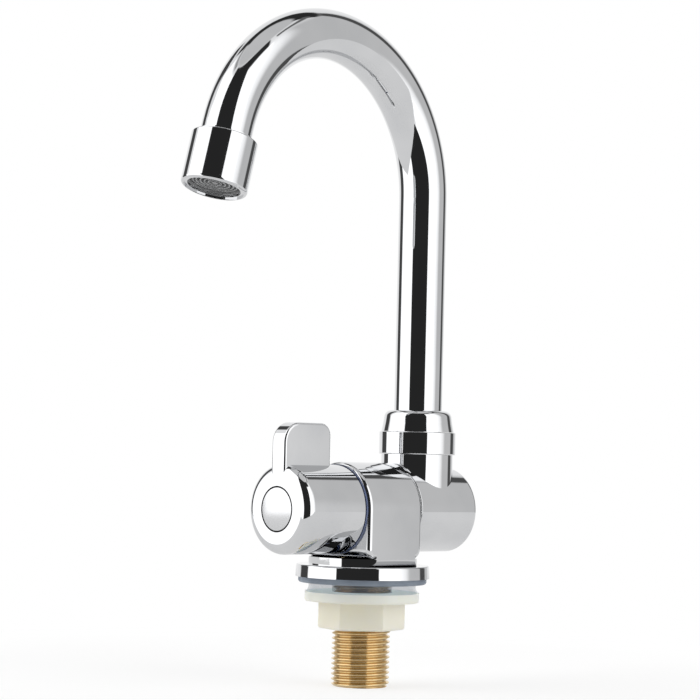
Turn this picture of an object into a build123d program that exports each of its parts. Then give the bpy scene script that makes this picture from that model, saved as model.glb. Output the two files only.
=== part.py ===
from build123d import *
import math
import os

# Basin tap with a folding, swivelling gooseneck spout. All sizes are in millimetres.
# Heights are above the worktop, on which the gasket rests. The body lies along X, its handle at
# the minus X end and the spout's folding housing at the plus X end. The front is minus Y.

# Clearances
RUNNING_GAP = 0.05      # radial, a shaft that turns in its bore
FITTED_GAP = 0.02       # radial, pieces that are screwed or pressed together
END_PLAY = 0.1          # axial, between faces that turn past each other
CLEAR_GAP = 0.32        # radial, pieces that pass without touching
PAST_FACE = 1.0         # how far a cutting solid runs past the face it opens

# Threaded tail: half-inch pipe thread
THREAD_CREST_RADIUS = 10.4775
THREAD_PITCH = 1.814
THREAD_DEPTH = 1.162
THREAD_HALF_ANGLE = 27.5
THREAD_TOP_Z = 1.6
TAIL_END_Z = -36.9
TAIL_TOP_Z = 14.0
TAIL_BORE_RADIUS = 7.2
TAIL_END_CHAMFER = 0.9
TAIL_RING_Z = 11.2

# Base stack
GASKET_THICKNESS = 2.1
GASKET_RADIUS = 23.1
GASKET_EDGE_ROUND = 0.9
GASKET_LIP_WIDTH = 2.5
GASKET_RECESS = 0.4
RISER_THICKNESS = 4.5
RISER_RADIUS = 24.1
RISER_TAPER = 0.2
RISER_EDGE_ROUND = 0.6
RISER_HOLE_GAP = 1.02
WASHER_THICKNESS = 3.6
WASHER_TOP_RADIUS = 19.7
WASHER_WAIST_RADIUS = 19.2
WASHER_BOTTOM_RADIUS = 20.1
BACKNUT_FLANGE_RADIUS = 20.6
BACKNUT_FLANGE_THICKNESS = 3.4
BACKNUT_HUB_FLATS = 27.1
BACKNUT_HUB_HEIGHT = 9.9
BACKNUT_HUB_ROUND = 1.0
BACKNUT_TURN = 16.0
BACKNUT_GAP = 0.09

# Body casting
BODY_AXIS_Z = 26.4
BLOCK_RADIUS = 16.95
BLOCK_LEFT_X = -13.6
BLOCK_RIGHT_X = 12.9
BLOCK_EDGE_ROUND = 1.6
BLOCK_CORNER_ROUND = 3.4
FOOT_RADIUS = 19.5
FOOT_THICKNESS = 2.7
FOOT_EDGE_ROUND = 2.3
NECK_GAP = 0.72
NECK_LENGTH = 6.9
CARTRIDGE_BORE_RADIUS = 10.0
SEAT_X = -2.4
INLET_PORT_RADIUS = 4.5
INLET_PORT_DEPTH = 6.2
INLET_DRILL_X = 0.7
INLET_DRILL_RADIUS = 2.8
OUTLET_DRILL_RADIUS = 1.35
OUTLET_DRILL_OFFSET = 8.4
OUTLET_DRILL_ANGLES = (65, 115)
GALLERY_RADIUS = 10.0
GALLERY_DEPTH = 7.6
GALLERY_WIDTH = 1.3

# Quarter-turn ceramic cartridge
SEAL_THICKNESS = 1.4
SEAL_WIDTH = 1.5
FIXED_DISC_THICKNESS = 2.4
MOVING_DISC_THICKNESS = 2.2
DISC_RADIUS = 7.5
DISC_HUB_RADIUS = 1.3
DISC_PORT_RADIUS = 5.9
DISC_PORT_ANGLE = 76.0
DRIVER_THICKNESS = 2.0
DRIVER_LUG_WIDTH = 2.6
DRIVER_LUG_DEPTH = 1.2
CARTRIDGE_WALL = 0.9
CARTRIDGE_SEAT_GAP = 0.3
CARTRIDGE_THREAD_END_X = -11.2
CARTRIDGE_RING_X = -13.0
CARTRIDGE_HEX_STEP = 0.65
CARTRIDGE_HEX_THICKNESS = 3.5
CARTRIDGE_NOSE_RADIUS = 6.4
CARTRIDGE_NOSE_LENGTH = 3.0
WINDOW_WIDTH = 9.0
WINDOW_LENGTH = 3.9
SPINDLE_RADIUS = 4.5
SPINDLE_RING_XS = (-23.5, -18.5)
SPLINE_TOOTH_COUNT = 20
SPLINE_RADIUS = 4.0
SPLINE_DEPTH = 0.4
SPLINE_GAP = 0.08
CIRCLIP_THICKNESS = 0.8
CIRCLIP_WIDTH = 2.1
CIRCLIP_MOUTH = 5.0
CIRCLIP_GAP = 0.1

# Small rubber rings: section radius and how deep their grooves are
RING_SECTION_RADIUS = 0.62
RING_GROOVE_WIDTH = 1.8

# Handle
HANDLE_FRONT_X = -42.3
HANDLE_GAP = 0.2
HANDLE_RADIUS = 15.87
HANDLE_WALL = 2.95
HANDLE_FRONT_WALL = 5.5
HANDLE_FRONT_ROUND = 3.6
HUB_RADIUS = 7.0
HUB_GAP = 0.7
LEVER_THICKNESS = 7.0
LEVER_LENGTH = 22.0
LEVER_TOP = 30.4
LEVER_FRONT_ROUND = 7.2
LEVER_REAR_ROUND = 4.4
LEVER_EDGE_ROUND = 0.9
INDEX_RING_THICKNESS = 0.7
INDEX_RING_RADIUS = 16.15
CAP_RADIUS = 7.5
CAP_POCKET_GAP = 0.6
CAP_POCKET_DEPTH = 4.0
CAP_THICKNESS = 1.4
CAP_DOME = 0.45
CAP_SKIRT_WALL = 1.3
CAP_SKIRT_LENGTH = 1.9
HANDLE_SCREW_RADIUS = 2.0
HANDLE_SCREW_HEAD_RADIUS = 3.6
HANDLE_SCREW_HEAD_HEIGHT = 2.2
HANDLE_SCREW_LENGTH = 7.6
HANDLE_SCREW_SLOT = 0.9

# Fold joint
THRUST_WASHER_THICKNESS = 0.4
THRUST_WASHER_RADIUS = 13.9
PIVOT_RADIUS = 7.95
PIVOT_BORE_RADIUS = 4.0
PIVOT_BORE_LENGTH = 23.6
PIVOT_WAIST_RADIUS = 6.4
PIVOT_WAIST_LENGTH = 9.0
PIVOT_PORT_RADIUS = 2.1
PIVOT_PORT_COUNT = 4
PIVOT_RING_OFFSETS = (-8.6, 8.0)
HOUSING_RADIUS = 15.5
HOUSING_RIGHT_X = 41.15
HOUSING_EDGE_ROUND = 0.3
SEAM_WIDTH = 0.9           # shadow groove at the housing's left end
SEAM_RADIUS = 14.1
HOUSING_REAR_WALL_X = 37.2
HOUSING_POCKET_RADIUS = 12.4
KEEPER_RADIUS = 10.4
KEEPER_THICKNESS = 1.2
PIVOT_SCREW_RADIUS = 2.5
PIVOT_SCREW_LENGTH = 6.5
PIVOT_SCREW_HEAD_RADIUS = 4.2
PIVOT_SCREW_HEAD_HEIGHT = 2.0
PIVOT_SCREW_KEY_FLATS = 3.0
PIVOT_SCREW_KEY_DEPTH = 1.2
END_CAP_THICKNESS = 2.4
END_CAP_ROUND = 2.0
END_CAP_SKIRT_WALL = 1.2
END_CAP_SKIRT_LENGTH = 2.0

# Spout socket and its swivel
SPOUT_X = 26.6
SOCKET_RADIUS = 13.2
SOCKET_SHOULDER_Z = 46.65
SOCKET_NECK_RADIUS = 11.8
SOCKET_NECK_HEIGHT = 5.55
SOCKET_BORE_RADIUS = 9.0
SOCKET_FLOOR_Z = 36.8
SOCKET_PORT_RADIUS = 5.0
SPOUT_NUT_RADIUS = 14.08
SPOUT_NUT_HEIGHT = 8.2
SPOUT_NUT_LIP = 0.9
SPOUT_NUT_EDGE_ROUND = 0.35
FERRULE_BOTTOM_GAP = 0.4
FERRULE_BORE_RADIUS = 5.8
FERRULE_FLANGE_RADIUS = 11.0
FERRULE_FLANGE_THICKNESS = 1.2
FERRULE_SPIGOT_HEIGHT = 9.0
FERRULE_RING_HEIGHTS = (3.3, 8.8)
SLIP_RING_THICKNESS = 0.5
COLLAR_HEIGHT = 7.8
COLLAR_BASE_RADIUS = 13.4
COLLAR_MIDDLE_RADIUS = 12.75
COLLAR_MIDDLE_SHARE = 0.42
COLLAR_MIDDLE_ROUND = 8.0
COLLAR_CROWN_RADIUS = 12.1
COLLAR_CROWN_ROUND = 2.6

# Gooseneck, turned a little towards the front as it stands
SPOUT_TURN = 5.3
TUBE_RADIUS = 8.83
TUBE_WALL = 1.0
BEND_START_Z = 140.9
BEND_RADIUS = 53.3
BEND_ANGLE = 164.7
OUTLET_STRAIGHT = 4.3

# Outlet, measured along its own axis from the end of the bend
ADAPTOR_RADIUS = 10.2
ADAPTOR_LIP_RADIUS = 9.55
ADAPTOR_LIP_HEIGHT = 1.0
ADAPTOR_LENGTH = 6.7
TUBE_TAIL = 6.0
AERATOR_RADIUS = 11.4
AERATOR_LENGTH = 18.1
AERATOR_TOP_ROUND = 0.4
AERATOR_RIM_ROUND = 1.1
AERATOR_SEAT_RADIUS = 9.9
AERATOR_RIM_RADIUS = 10.25
AERATOR_RIM_DEPTH = 0.6
AERATOR_MOUTH_RADIUS = 9.15
AERATOR_LIP_HEIGHT = 1.0
AERATOR_WASHER_THICKNESS = 1.4
AERATOR_WASHER_BORE = 6.6
INSERT_WALL = 1.0
INSERT_PLATE_THICKNESS = 1.2
INSERT_HOLE_RADIUS = 0.55
INSERT_HOLE_CIRCLES = (3.0, 5.6)
INSERT_HOLE_COUNTS = (8, 14)
INSERT_RING_RADII = (2.2, 3.6, 5.0, 6.4, 7.6)
INSERT_RING_WALL = 0.5
INSERT_RING_HEIGHT = 1.3
INSERT_RIM_STEP = 0.5
INSERT_SPOKE_COUNT = 6
INSERT_SPOKE_WIDTH = 0.5
INSERT_BUTTON_RADIUS = 1.0
SCREEN_THICKNESS = 0.3
SCREEN_HOLE_RADIUS = 0.45
SCREEN_HOLE_CIRCLES = (0.0, 2.0, 4.0, 6.0)
SCREEN_HOLE_COUNTS = (1, 6, 12, 18)
SCREEN_HEIGHT = 4.2

# Half the width over a hexagon's flats times this is its corner radius
FLATS_TO_CORNER = 0.5 / math.cos(math.radians(30))

# Places that follow from the sizes above
RISER_HOLE_RADIUS = THREAD_CREST_RADIUS + RISER_HOLE_GAP
RISER_TOP_Z = GASKET_THICKNESS + RISER_THICKNESS
BLOCK_BOTTOM_Z = RISER_TOP_Z + FOOT_THICKNESS
HANDLE_CAVITY_RADIUS = HANDLE_RADIUS - HANDLE_WALL
NECK_RADIUS = HANDLE_CAVITY_RADIUS - NECK_GAP
NECK_END_X = BLOCK_LEFT_X - NECK_LENGTH
CARTRIDGE_HEX_RADIUS = NECK_RADIUS - CARTRIDGE_HEX_STEP
DISC_FACE_X = SEAT_X - SEAL_THICKNESS
MOVING_DISC_X = DISC_FACE_X - FIXED_DISC_THICKNESS
DRIVER_FACE_X = MOVING_DISC_X - MOVING_DISC_THICKNESS
DRIVER_BACK_X = DRIVER_FACE_X - DRIVER_THICKNESS
CARTRIDGE_HEX_X = NECK_END_X - CARTRIDGE_HEX_THICKNESS
CARTRIDGE_NOSE_X = CARTRIDGE_HEX_X - CARTRIDGE_NOSE_LENGTH
CIRCLIP_X = CARTRIDGE_NOSE_X - END_PLAY - CIRCLIP_THICKNESS
SPLINE_START_X = CIRCLIP_X - HUB_GAP
INDEX_RING_X = BLOCK_LEFT_X - INDEX_RING_THICKNESS
HANDLE_REAR_X = INDEX_RING_X - HANDLE_GAP
HANDLE_CAVITY_X = HANDLE_FRONT_X + HANDLE_FRONT_WALL
HANDLE_POCKET_X = HANDLE_FRONT_X + CAP_POCKET_DEPTH
SPLINE_END_X = HANDLE_CAVITY_X + CIRCLIP_GAP
GALLERY_X = BLOCK_RIGHT_X - GALLERY_DEPTH
PIVOT_LEFT_X = GALLERY_X + GALLERY_WIDTH
HOUSING_LEFT_X = BLOCK_RIGHT_X + THRUST_WASHER_THICKNESS
PIVOT_RIGHT_X = HOUSING_REAR_WALL_X + END_PLAY
PIVOT_HOLE_RADIUS = PIVOT_RADIUS + RUNNING_GAP
SOCKET_TOP_Z = SOCKET_SHOULDER_Z + SOCKET_NECK_HEIGHT
SPOUT_NUT_Z = SOCKET_SHOULDER_Z + RUNNING_GAP
SPOUT_NUT_TOP_Z = SPOUT_NUT_Z + SPOUT_NUT_HEIGHT
SPOUT_NUT_LIP_RADIUS = TUBE_RADIUS + CLEAR_GAP
FERRULE_RADIUS = SOCKET_BORE_RADIUS - RUNNING_GAP
FERRULE_BOTTOM_Z = SOCKET_FLOOR_Z + FERRULE_BOTTOM_GAP
FERRULE_FLANGE_Z = SOCKET_TOP_Z + END_PLAY
TUBE_BOTTOM_Z = FERRULE_FLANGE_Z + FERRULE_FLANGE_THICKNESS
COLLAR_Z = SPOUT_NUT_TOP_Z + END_PLAY
AERATOR_TOP_S = OUTLET_STRAIGHT
ADAPTOR_TOP_S = AERATOR_TOP_S - ADAPTOR_LIP_HEIGHT
ADAPTOR_END_S = AERATOR_TOP_S + ADAPTOR_LENGTH
TUBE_END_S = AERATOR_TOP_S + TUBE_TAIL
AERATOR_WASHER_S = ADAPTOR_END_S + END_PLAY
INSERT_TOP_S = AERATOR_WASHER_S + AERATOR_WASHER_THICKNESS
AERATOR_END_S = AERATOR_TOP_S + AERATOR_LENGTH
AERATOR_LIP_S = AERATOR_END_S - AERATOR_RIM_DEPTH
INSERT_END_S = AERATOR_LIP_S - AERATOR_LIP_HEIGHT
INSERT_RADIUS = AERATOR_SEAT_RADIUS - FITTED_GAP
INSERT_INNER_RADIUS = INSERT_RADIUS - INSERT_WALL

# Axes on which pieces are turned: a piece's own Z is laid along the body, up the spout or out of it
ALONG_BODY = Plane(origin=(0, 0, BODY_AXIS_Z), x_dir=(0, 1, 0), z_dir=(1, 0, 0))
UP_SPOUT = Pos(SPOUT_X, 0, 0) * Rot(0, 0, SPOUT_TURN)
BEND_END_TILT = math.radians(BEND_ANGLE)
OUT_OF_SPOUT = UP_SPOUT * Plane(
    origin=(
        -BEND_RADIUS * (1 - math.cos(BEND_END_TILT)),
        0,
        BEND_START_Z + BEND_RADIUS * math.sin(BEND_END_TILT),
    ),
    x_dir=(0, 1, 0),
    z_dir=(-math.sin(BEND_END_TILT), 0, math.cos(BEND_END_TILT)),
).location


def turned(outline, rounds=None):
    """Solid turned about Z from (radius, height) corners. rounds maps a corner to its round."""
    profile = make_face(Polyline(*outline, close=True))
    for (radius, height), size in (rounds or {}).items():
        corner = profile.vertices().sort_by_distance((radius, height, 0))[0]
        profile = fillet(corner, size)
    return revolve(Plane.XZ * profile, Axis.Z)


def ring(outer, inner, low, high):
    """Plain ring or tube about Z."""
    return turned([(inner, low), (outer, low), (outer, high), (inner, high)])


def rod(radius, low, high):
    """Plain solid cylinder about Z."""
    return Pos(0, 0, (low + high) / 2) * Cylinder(radius, high - low)


def hexagon_bar(corner_radius, low, high):
    """Hexagonal bar about Z, with its corners along X."""
    face = RegularPolygon(corner_radius, 6)
    return extrude(Pos(0, 0, low) * face, high - low)


def rubber_ring(groove_radius, height):
    """Round-section sealing ring that rests on the bottom of a groove."""
    return Pos(0, 0, height) * Torus(groove_radius + RING_SECTION_RADIUS, RING_SECTION_RADIUS)


def ring_groove(outer, height):
    """Cut for a sealing ring in a shaft of the given radius, and the radius of its bottom."""
    bottom = outer - 2 * RING_SECTION_RADIUS
    half = RING_GROOVE_WIDTH / 2
    return ring(outer + PAST_FACE, bottom, height - half, height + half), bottom


def grooved(shaft, outer, heights):
    """A shaft with a groove at each height, and the rubber rings that fill the grooves."""
    rings = []
    for height in heights:
        cut, bottom = ring_groove(outer, height)
        shaft = shaft - cut
        rings.append(rubber_ring(bottom + FITTED_GAP, height))
    return shaft, rings


def wedge(radius, centre_angle, opening):
    """Flat triangular wedge from the centre, wider than the radius, with the given opening angle."""
    reach = 2 * radius
    angles = [math.radians(centre_angle + side * opening / 2) for side in (-1, 1)]
    tips = [(reach * math.cos(a), reach * math.sin(a)) for a in angles]
    return make_face(Polyline((0, 0), *tips, close=True))


def hole_rings(circles, counts, radius, low, high):
    """Small holes on circles, each with its own number of holes."""
    holes = []
    for circle, count in zip(circles, counts):
        for place in PolarLocations(circle, count):
            holes.append(place * rod(radius, low, high))
    return holes


def tail():
    """Threaded tail: a bored stud with a round groove for each turn of the thread."""
    crest_land = THREAD_PITCH / 6
    half_mouth = (THREAD_PITCH - crest_land) / 2
    half_root = half_mouth - THREAD_DEPTH * math.tan(math.radians(THREAD_HALF_ANGLE))
    root = THREAD_CREST_RADIUS - THREAD_DEPTH
    plain_radius = THREAD_CREST_RADIUS - FITTED_GAP
    outline = [
        (TAIL_BORE_RADIUS, TAIL_END_Z),
        (THREAD_CREST_RADIUS - TAIL_END_CHAMFER, TAIL_END_Z),
        (THREAD_CREST_RADIUS, TAIL_END_Z + TAIL_END_CHAMFER),
    ]
    lowest = TAIL_END_Z + TAIL_END_CHAMFER + crest_land + half_mouth
    turns = int((THREAD_TOP_Z - half_mouth - lowest) / THREAD_PITCH) + 1
    for turn in range(turns):
        z = lowest + turn * THREAD_PITCH
        outline += [
            (THREAD_CREST_RADIUS, z - half_mouth),
            (root, z - half_root),
            (root, z + half_root),
            (THREAD_CREST_RADIUS, z + half_mouth),
        ]
    outline += [
        (THREAD_CREST_RADIUS, THREAD_TOP_Z),
        (plain_radius, THREAD_TOP_Z),
        (plain_radius, TAIL_TOP_Z),
        (TAIL_BORE_RADIUS, TAIL_TOP_Z),
    ]
    return grooved(turned(outline), plain_radius, (TAIL_RING_Z,))


def riser_gasket():
    """Rubber gasket: its rim is the face that rests on the worktop."""
    bore = THREAD_CREST_RADIUS + CLEAR_GAP
    lip = GASKET_RADIUS - GASKET_LIP_WIDTH
    return turned(
        [
            (bore, GASKET_RECESS),
            (lip, GASKET_RECESS),
            (lip, 0),
            (GASKET_RADIUS, 0),
            (GASKET_RADIUS, GASKET_THICKNESS),
            (bore, GASKET_THICKNESS),
        ],
        {(GASKET_RADIUS, 0): GASKET_EDGE_ROUND},
    )


def riser_ring():
    """Plated ring between the gasket and the body's foot."""
    top_radius = RISER_RADIUS - RISER_TAPER
    return turned(
        [
            (RISER_HOLE_RADIUS, GASKET_THICKNESS),
            (RISER_RADIUS, GASKET_THICKNESS),
            (top_radius, RISER_TOP_Z),
            (RISER_HOLE_RADIUS, RISER_TOP_Z),
        ],
        {(top_radius, RISER_TOP_Z): RISER_EDGE_ROUND},
    )


def clamp_washer():
    """Clear washer with a waisted side, which lies under the worktop."""
    bore = THREAD_CREST_RADIUS + CLEAR_GAP
    bottom = GASKET_RECESS - WASHER_THICKNESS
    waist = (WASHER_WAIST_RADIUS, GASKET_RECESS - WASHER_THICKNESS / 2)
    return turned(
        [
            (bore, bottom),
            (WASHER_BOTTOM_RADIUS, bottom),
            waist,
            (WASHER_TOP_RADIUS, GASKET_RECESS),
            (bore, GASKET_RECESS),
        ],
        {waist: WASHER_THICKNESS / 2},
    )


def backnut():
    """Plastic backnut: a round flange on a hexagonal hub."""
    top = GASKET_RECESS - WASHER_THICKNESS
    under_flange = top - BACKNUT_FLANGE_THICKNESS
    bottom = under_flange - BACKNUT_HUB_HEIGHT
    flange = turned(
        [(0, under_flange), (BACKNUT_FLANGE_RADIUS, under_flange), (BACKNUT_FLANGE_RADIUS, top), (0, top)],
        {(BACKNUT_FLANGE_RADIUS, under_flange): BACKNUT_HUB_ROUND / 2},
    )
    hub = hexagon_bar(BACKNUT_HUB_FLATS * FLATS_TO_CORNER, bottom, under_flange)
    hub = fillet(hub.edges().filter_by(Axis.Z), BACKNUT_HUB_ROUND / 2)
    hub = fillet(hub.faces().sort_by(Axis.Z)[0].edges(), BACKNUT_HUB_ROUND)
    bore = rod(THREAD_CREST_RADIUS + BACKNUT_GAP, bottom - PAST_FACE, top + PAST_FACE)
    return Rot(0, 0, BACKNUT_TURN) * (flange + hub - bore)


def body():
    """Body casting: an arched block on a round foot whose front and back are cut flush with the block."""
    upright = Pos(0, (BODY_AXIS_Z + BLOCK_BOTTOM_Z) / 2) * Rectangle(
        2 * BLOCK_RADIUS, BODY_AXIS_Z - BLOCK_BOTTOM_Z
    )
    arch = Pos(0, BODY_AXIS_Z) * Circle(BLOCK_RADIUS) + upright
    block = extrude(Plane.YZ.offset(BLOCK_LEFT_X) * arch, BLOCK_RIGHT_X - BLOCK_LEFT_X)
    block = fillet(block.faces().sort_by(Axis.Z)[0].edges().filter_by(Axis.Y), BLOCK_CORNER_ROUND)
    outline = ShapeList()
    for flat_face in block.faces().filter_by(Axis.Y):
        outline += flat_face.edges().sort_by(Axis.Z)[:-1]
    for end in block.faces().filter_by(Axis.X):
        outline += end.edges().filter_by(GeomType.CIRCLE)
    block = fillet(outline, BLOCK_EDGE_ROUND)

    foot = rod(FOOT_RADIUS, RISER_TOP_Z, BLOCK_BOTTOM_Z)
    width_limit = Box(4 * FOOT_RADIUS, 2 * BLOCK_RADIUS, 4 * FOOT_THICKNESS)
    foot = foot & Pos(0, 0, BLOCK_BOTTOM_Z) * width_limit
    flat_length = 2 * math.sqrt(FOOT_RADIUS**2 - BLOCK_RADIUS**2)
    joining_z = BLOCK_BOTTOM_Z + BLOCK_EDGE_ROUND / 2
    foot += Pos(0, 0, joining_z) * Box(flat_length, 2 * BLOCK_RADIUS, BLOCK_EDGE_ROUND)
    lower_edges = foot.faces().sort_by(Axis.Z)[0].edges().filter_by(Axis.X)
    foot = fillet(lower_edges, FOOT_EDGE_ROUND)
    neck = rod(NECK_RADIUS, NECK_END_X, BLOCK_LEFT_X + BLOCK_EDGE_ROUND)
    casting = block + foot + ALONG_BODY.location * neck

    cuts = rod(CARTRIDGE_BORE_RADIUS, NECK_END_X - PAST_FACE, SEAT_X)
    cuts += rod(INLET_PORT_RADIUS, SEAT_X, SEAT_X + INLET_PORT_DEPTH)
    cuts += rod(PIVOT_RADIUS + FITTED_GAP, GALLERY_X, BLOCK_RIGHT_X + PAST_FACE)
    cuts += rod(GALLERY_RADIUS, GALLERY_X, PIVOT_LEFT_X)
    for angle in OUTLET_DRILL_ANGLES:
        place = Rot(0, 0, angle) * Pos(OUTLET_DRILL_OFFSET, 0, 0)
        cuts += place * rod(OUTLET_DRILL_RADIUS, SEAT_X - PAST_FACE, GALLERY_X + GALLERY_WIDTH / 2)
    casting = casting - ALONG_BODY.location * cuts
    casting = casting - rod(THREAD_CREST_RADIUS, RISER_TOP_Z - PAST_FACE, TAIL_TOP_Z)
    inlet = Pos(INLET_DRILL_X, 0, 0) * rod(INLET_DRILL_RADIUS, TAIL_TOP_Z - PAST_FACE, BODY_AXIS_Z)
    return casting - inlet


def cartridge_body():
    """Brass cartridge housing: hexagon outside the neck, thread in the bore, two side windows."""
    inner = DISC_RADIUS + FITTED_GAP
    sleeve_radius = inner + CARTRIDGE_WALL
    thread_radius = CARTRIDGE_BORE_RADIUS - FITTED_GAP
    end = SEAT_X - CARTRIDGE_SEAT_GAP
    shell = rod(thread_radius, NECK_END_X, CARTRIDGE_THREAD_END_X)
    shell += rod(sleeve_radius, CARTRIDGE_THREAD_END_X, end)
    shell += hexagon_bar(CARTRIDGE_HEX_RADIUS, CARTRIDGE_HEX_X, NECK_END_X)
    shell += rod(CARTRIDGE_NOSE_RADIUS, CARTRIDGE_NOSE_X, CARTRIDGE_HEX_X)
    shell -= rod(SPINDLE_RADIUS + RUNNING_GAP, CARTRIDGE_NOSE_X - PAST_FACE, DRIVER_BACK_X)
    shell -= rod(inner, DRIVER_BACK_X - END_PLAY, end + PAST_FACE)
    window_middle = DRIVER_BACK_X + WINDOW_LENGTH / 2
    shell -= Pos(0, 0, window_middle) * Box(4 * sleeve_radius, WINDOW_WIDTH, WINDOW_LENGTH)
    return grooved(shell, thread_radius, (CARTRIDGE_RING_X,))


def spline_bar(radius, low, high):
    """Splined bar about Z with evenly spaced teeth."""
    points = []
    for step in range(2 * SPLINE_TOOTH_COUNT):
        angle = math.pi * step / SPLINE_TOOTH_COUNT
        reach = radius - SPLINE_DEPTH * (step % 2)
        points.append((reach * math.cos(angle), reach * math.sin(angle)))
    return extrude(Pos(0, 0, low) * make_face(Polyline(*points, close=True)), high - low)


def driver_lugs(reach, width, low, high):
    """The two lugs with which the spindle turns the moving disc, or the notches for them."""
    lugs = []
    for side in (-1, 1):
        offset = side * (DISC_RADIUS - reach / 2)
        lugs.append(Pos(0, offset, (low + high) / 2) * Box(width, reach, high - low))
    return lugs


def cartridge_spindle():
    """Spindle: splined for the handle, with a driver at its inner end for the moving disc."""
    spindle = spline_bar(SPLINE_RADIUS, SPLINE_END_X, SPLINE_START_X)
    spindle += rod(SPLINE_RADIUS - SPLINE_DEPTH, SPLINE_START_X, CARTRIDGE_NOSE_X - END_PLAY)
    spindle += rod(SPINDLE_RADIUS, CARTRIDGE_NOSE_X - END_PLAY, DRIVER_BACK_X)
    spindle += rod(DISC_RADIUS - RUNNING_GAP, DRIVER_BACK_X, DRIVER_FACE_X)
    for lug in driver_lugs(DRIVER_LUG_DEPTH, DRIVER_LUG_WIDTH, DRIVER_FACE_X, MOVING_DISC_X - END_PLAY):
        spindle += lug & rod(DISC_RADIUS - RUNNING_GAP, DRIVER_FACE_X, MOVING_DISC_X)
    thread_depth = HANDLE_SCREW_LENGTH + HANDLE_SCREW_RADIUS
    thread_end = HANDLE_POCKET_X + thread_depth
    spindle -= rod(HANDLE_SCREW_RADIUS + FITTED_GAP, SPLINE_END_X - PAST_FACE, thread_end)
    return grooved(spindle, SPINDLE_RADIUS, SPINDLE_RING_XS)


def moving_disc():
    """Ceramic disc with two open sides, notched for the driver's lugs."""
    radius = DISC_RADIUS - RUNNING_GAP
    disc = Circle(radius)
    for side in (-90, 90):
        opening = wedge(radius, side + 90, DISC_PORT_ANGLE) - Circle(DISC_HUB_RADIUS)
        disc -= opening
    disc = extrude(Pos(0, 0, DRIVER_FACE_X) * disc, MOVING_DISC_THICKNESS)
    notch_depth = DRIVER_LUG_DEPTH + FITTED_GAP
    notch_width = DRIVER_LUG_WIDTH + 2 * FITTED_GAP
    for notch in driver_lugs(notch_depth, notch_width, DRIVER_FACE_X, MOVING_DISC_X):
        disc -= notch
    return disc


def fixed_disc():
    """Ceramic disc with two ports, which the moving disc covers when the tap is shut."""
    disc = Circle(DISC_RADIUS)
    for side in (-90, 90):
        port = wedge(DISC_PORT_RADIUS, side, DISC_PORT_ANGLE) & Circle(DISC_PORT_RADIUS)
        disc -= port - Circle(DISC_HUB_RADIUS)
    return extrude(Pos(0, 0, MOVING_DISC_X) * disc, FIXED_DISC_THICKNESS)


def spindle_circlip():
    """Open ring that holds the spindle in the cartridge."""
    inner = SPLINE_RADIUS - SPLINE_DEPTH + FITTED_GAP
    clip = ring(inner + CIRCLIP_WIDTH, inner, CIRCLIP_X, CIRCLIP_X + CIRCLIP_THICKNESS)
    mouth = Box(2 * (inner + CIRCLIP_WIDTH), CIRCLIP_MOUTH, 4 * CIRCLIP_THICKNESS)
    mouth = Pos(inner + CIRCLIP_WIDTH, 0, CIRCLIP_X) * mouth
    return clip - mouth


def handle():
    """Handle: a round cup with a flat upright lever, flush with its front face."""
    pocket_radius = CAP_RADIUS + CAP_POCKET_GAP
    cup = turned(
        [
            (0, HANDLE_FRONT_X),
            (HANDLE_RADIUS, HANDLE_FRONT_X),
            (HANDLE_RADIUS, HANDLE_REAR_X),
            (0, HANDLE_REAR_X),
        ],
        {(HANDLE_RADIUS, HANDLE_FRONT_X): HANDLE_FRONT_ROUND},
    )
    lever_face = Pos(0, LEVER_TOP / 2) * Rectangle(LEVER_LENGTH, LEVER_TOP)
    top_corners = lever_face.vertices().group_by(Axis.Y)[-1]
    lever_face = fillet(top_corners.sort_by(Axis.X)[0], LEVER_FRONT_ROUND)
    rear_corners = lever_face.vertices().group_by(Axis.X)[-1]
    lever_face = fillet(rear_corners.sort_by(Axis.Y)[-1], LEVER_REAR_ROUND)
    lever = extrude(Plane.XZ * lever_face, LEVER_THICKNESS / 2, both=True)
    sides = lever.faces().sort_by(Axis.Y)
    edges = (sides[0].edges() + sides[-1].edges()).filter_by(lambda edge: edge.center().Z > LEVER_EDGE_ROUND)
    lever = fillet(edges, LEVER_EDGE_ROUND)
    lever = Pos(HANDLE_FRONT_X + LEVER_LENGTH / 2, 0, BODY_AXIS_Z) * lever

    inside = rod(HANDLE_CAVITY_RADIUS, HANDLE_CAVITY_X, HANDLE_REAR_X + PAST_FACE)
    inside -= rod(HUB_RADIUS, HANDLE_CAVITY_X, SPLINE_START_X)
    inside += spline_bar(SPLINE_RADIUS + SPLINE_GAP, HANDLE_CAVITY_X, SPLINE_START_X + PAST_FACE)
    inside += rod(pocket_radius, HANDLE_FRONT_X - PAST_FACE, HANDLE_POCKET_X)
    inside += rod(HANDLE_SCREW_RADIUS + CIRCLIP_GAP, HANDLE_POCKET_X, HANDLE_CAVITY_X)
    return ALONG_BODY.location * cup + lever - ALONG_BODY.location * inside


def index_cap():
    """Domed cap over the handle's screw, held in the pocket by its skirt."""
    rim = HANDLE_FRONT_X
    skirt_outer = CAP_RADIUS + CAP_POCKET_GAP - FITTED_GAP
    skirt_inner = skirt_outer - CAP_SKIRT_WALL
    inside = rim + CAP_THICKNESS
    dome = ThreePointArc((0, rim - CAP_DOME), (CAP_RADIUS / 2, rim - CAP_DOME * 3 / 4), (CAP_RADIUS, rim))
    edges = [
        dome,
        Polyline(
            (CAP_RADIUS, rim),
            (CAP_RADIUS, inside),
            (skirt_outer, inside),
            (skirt_outer, inside + CAP_SKIRT_LENGTH),
            (skirt_inner, inside + CAP_SKIRT_LENGTH),
            (skirt_inner, inside),
            (0, inside),
            (0, rim - CAP_DOME),
        ),
    ]
    return revolve(Plane.XZ * make_face(edges), Axis.Z)


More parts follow.
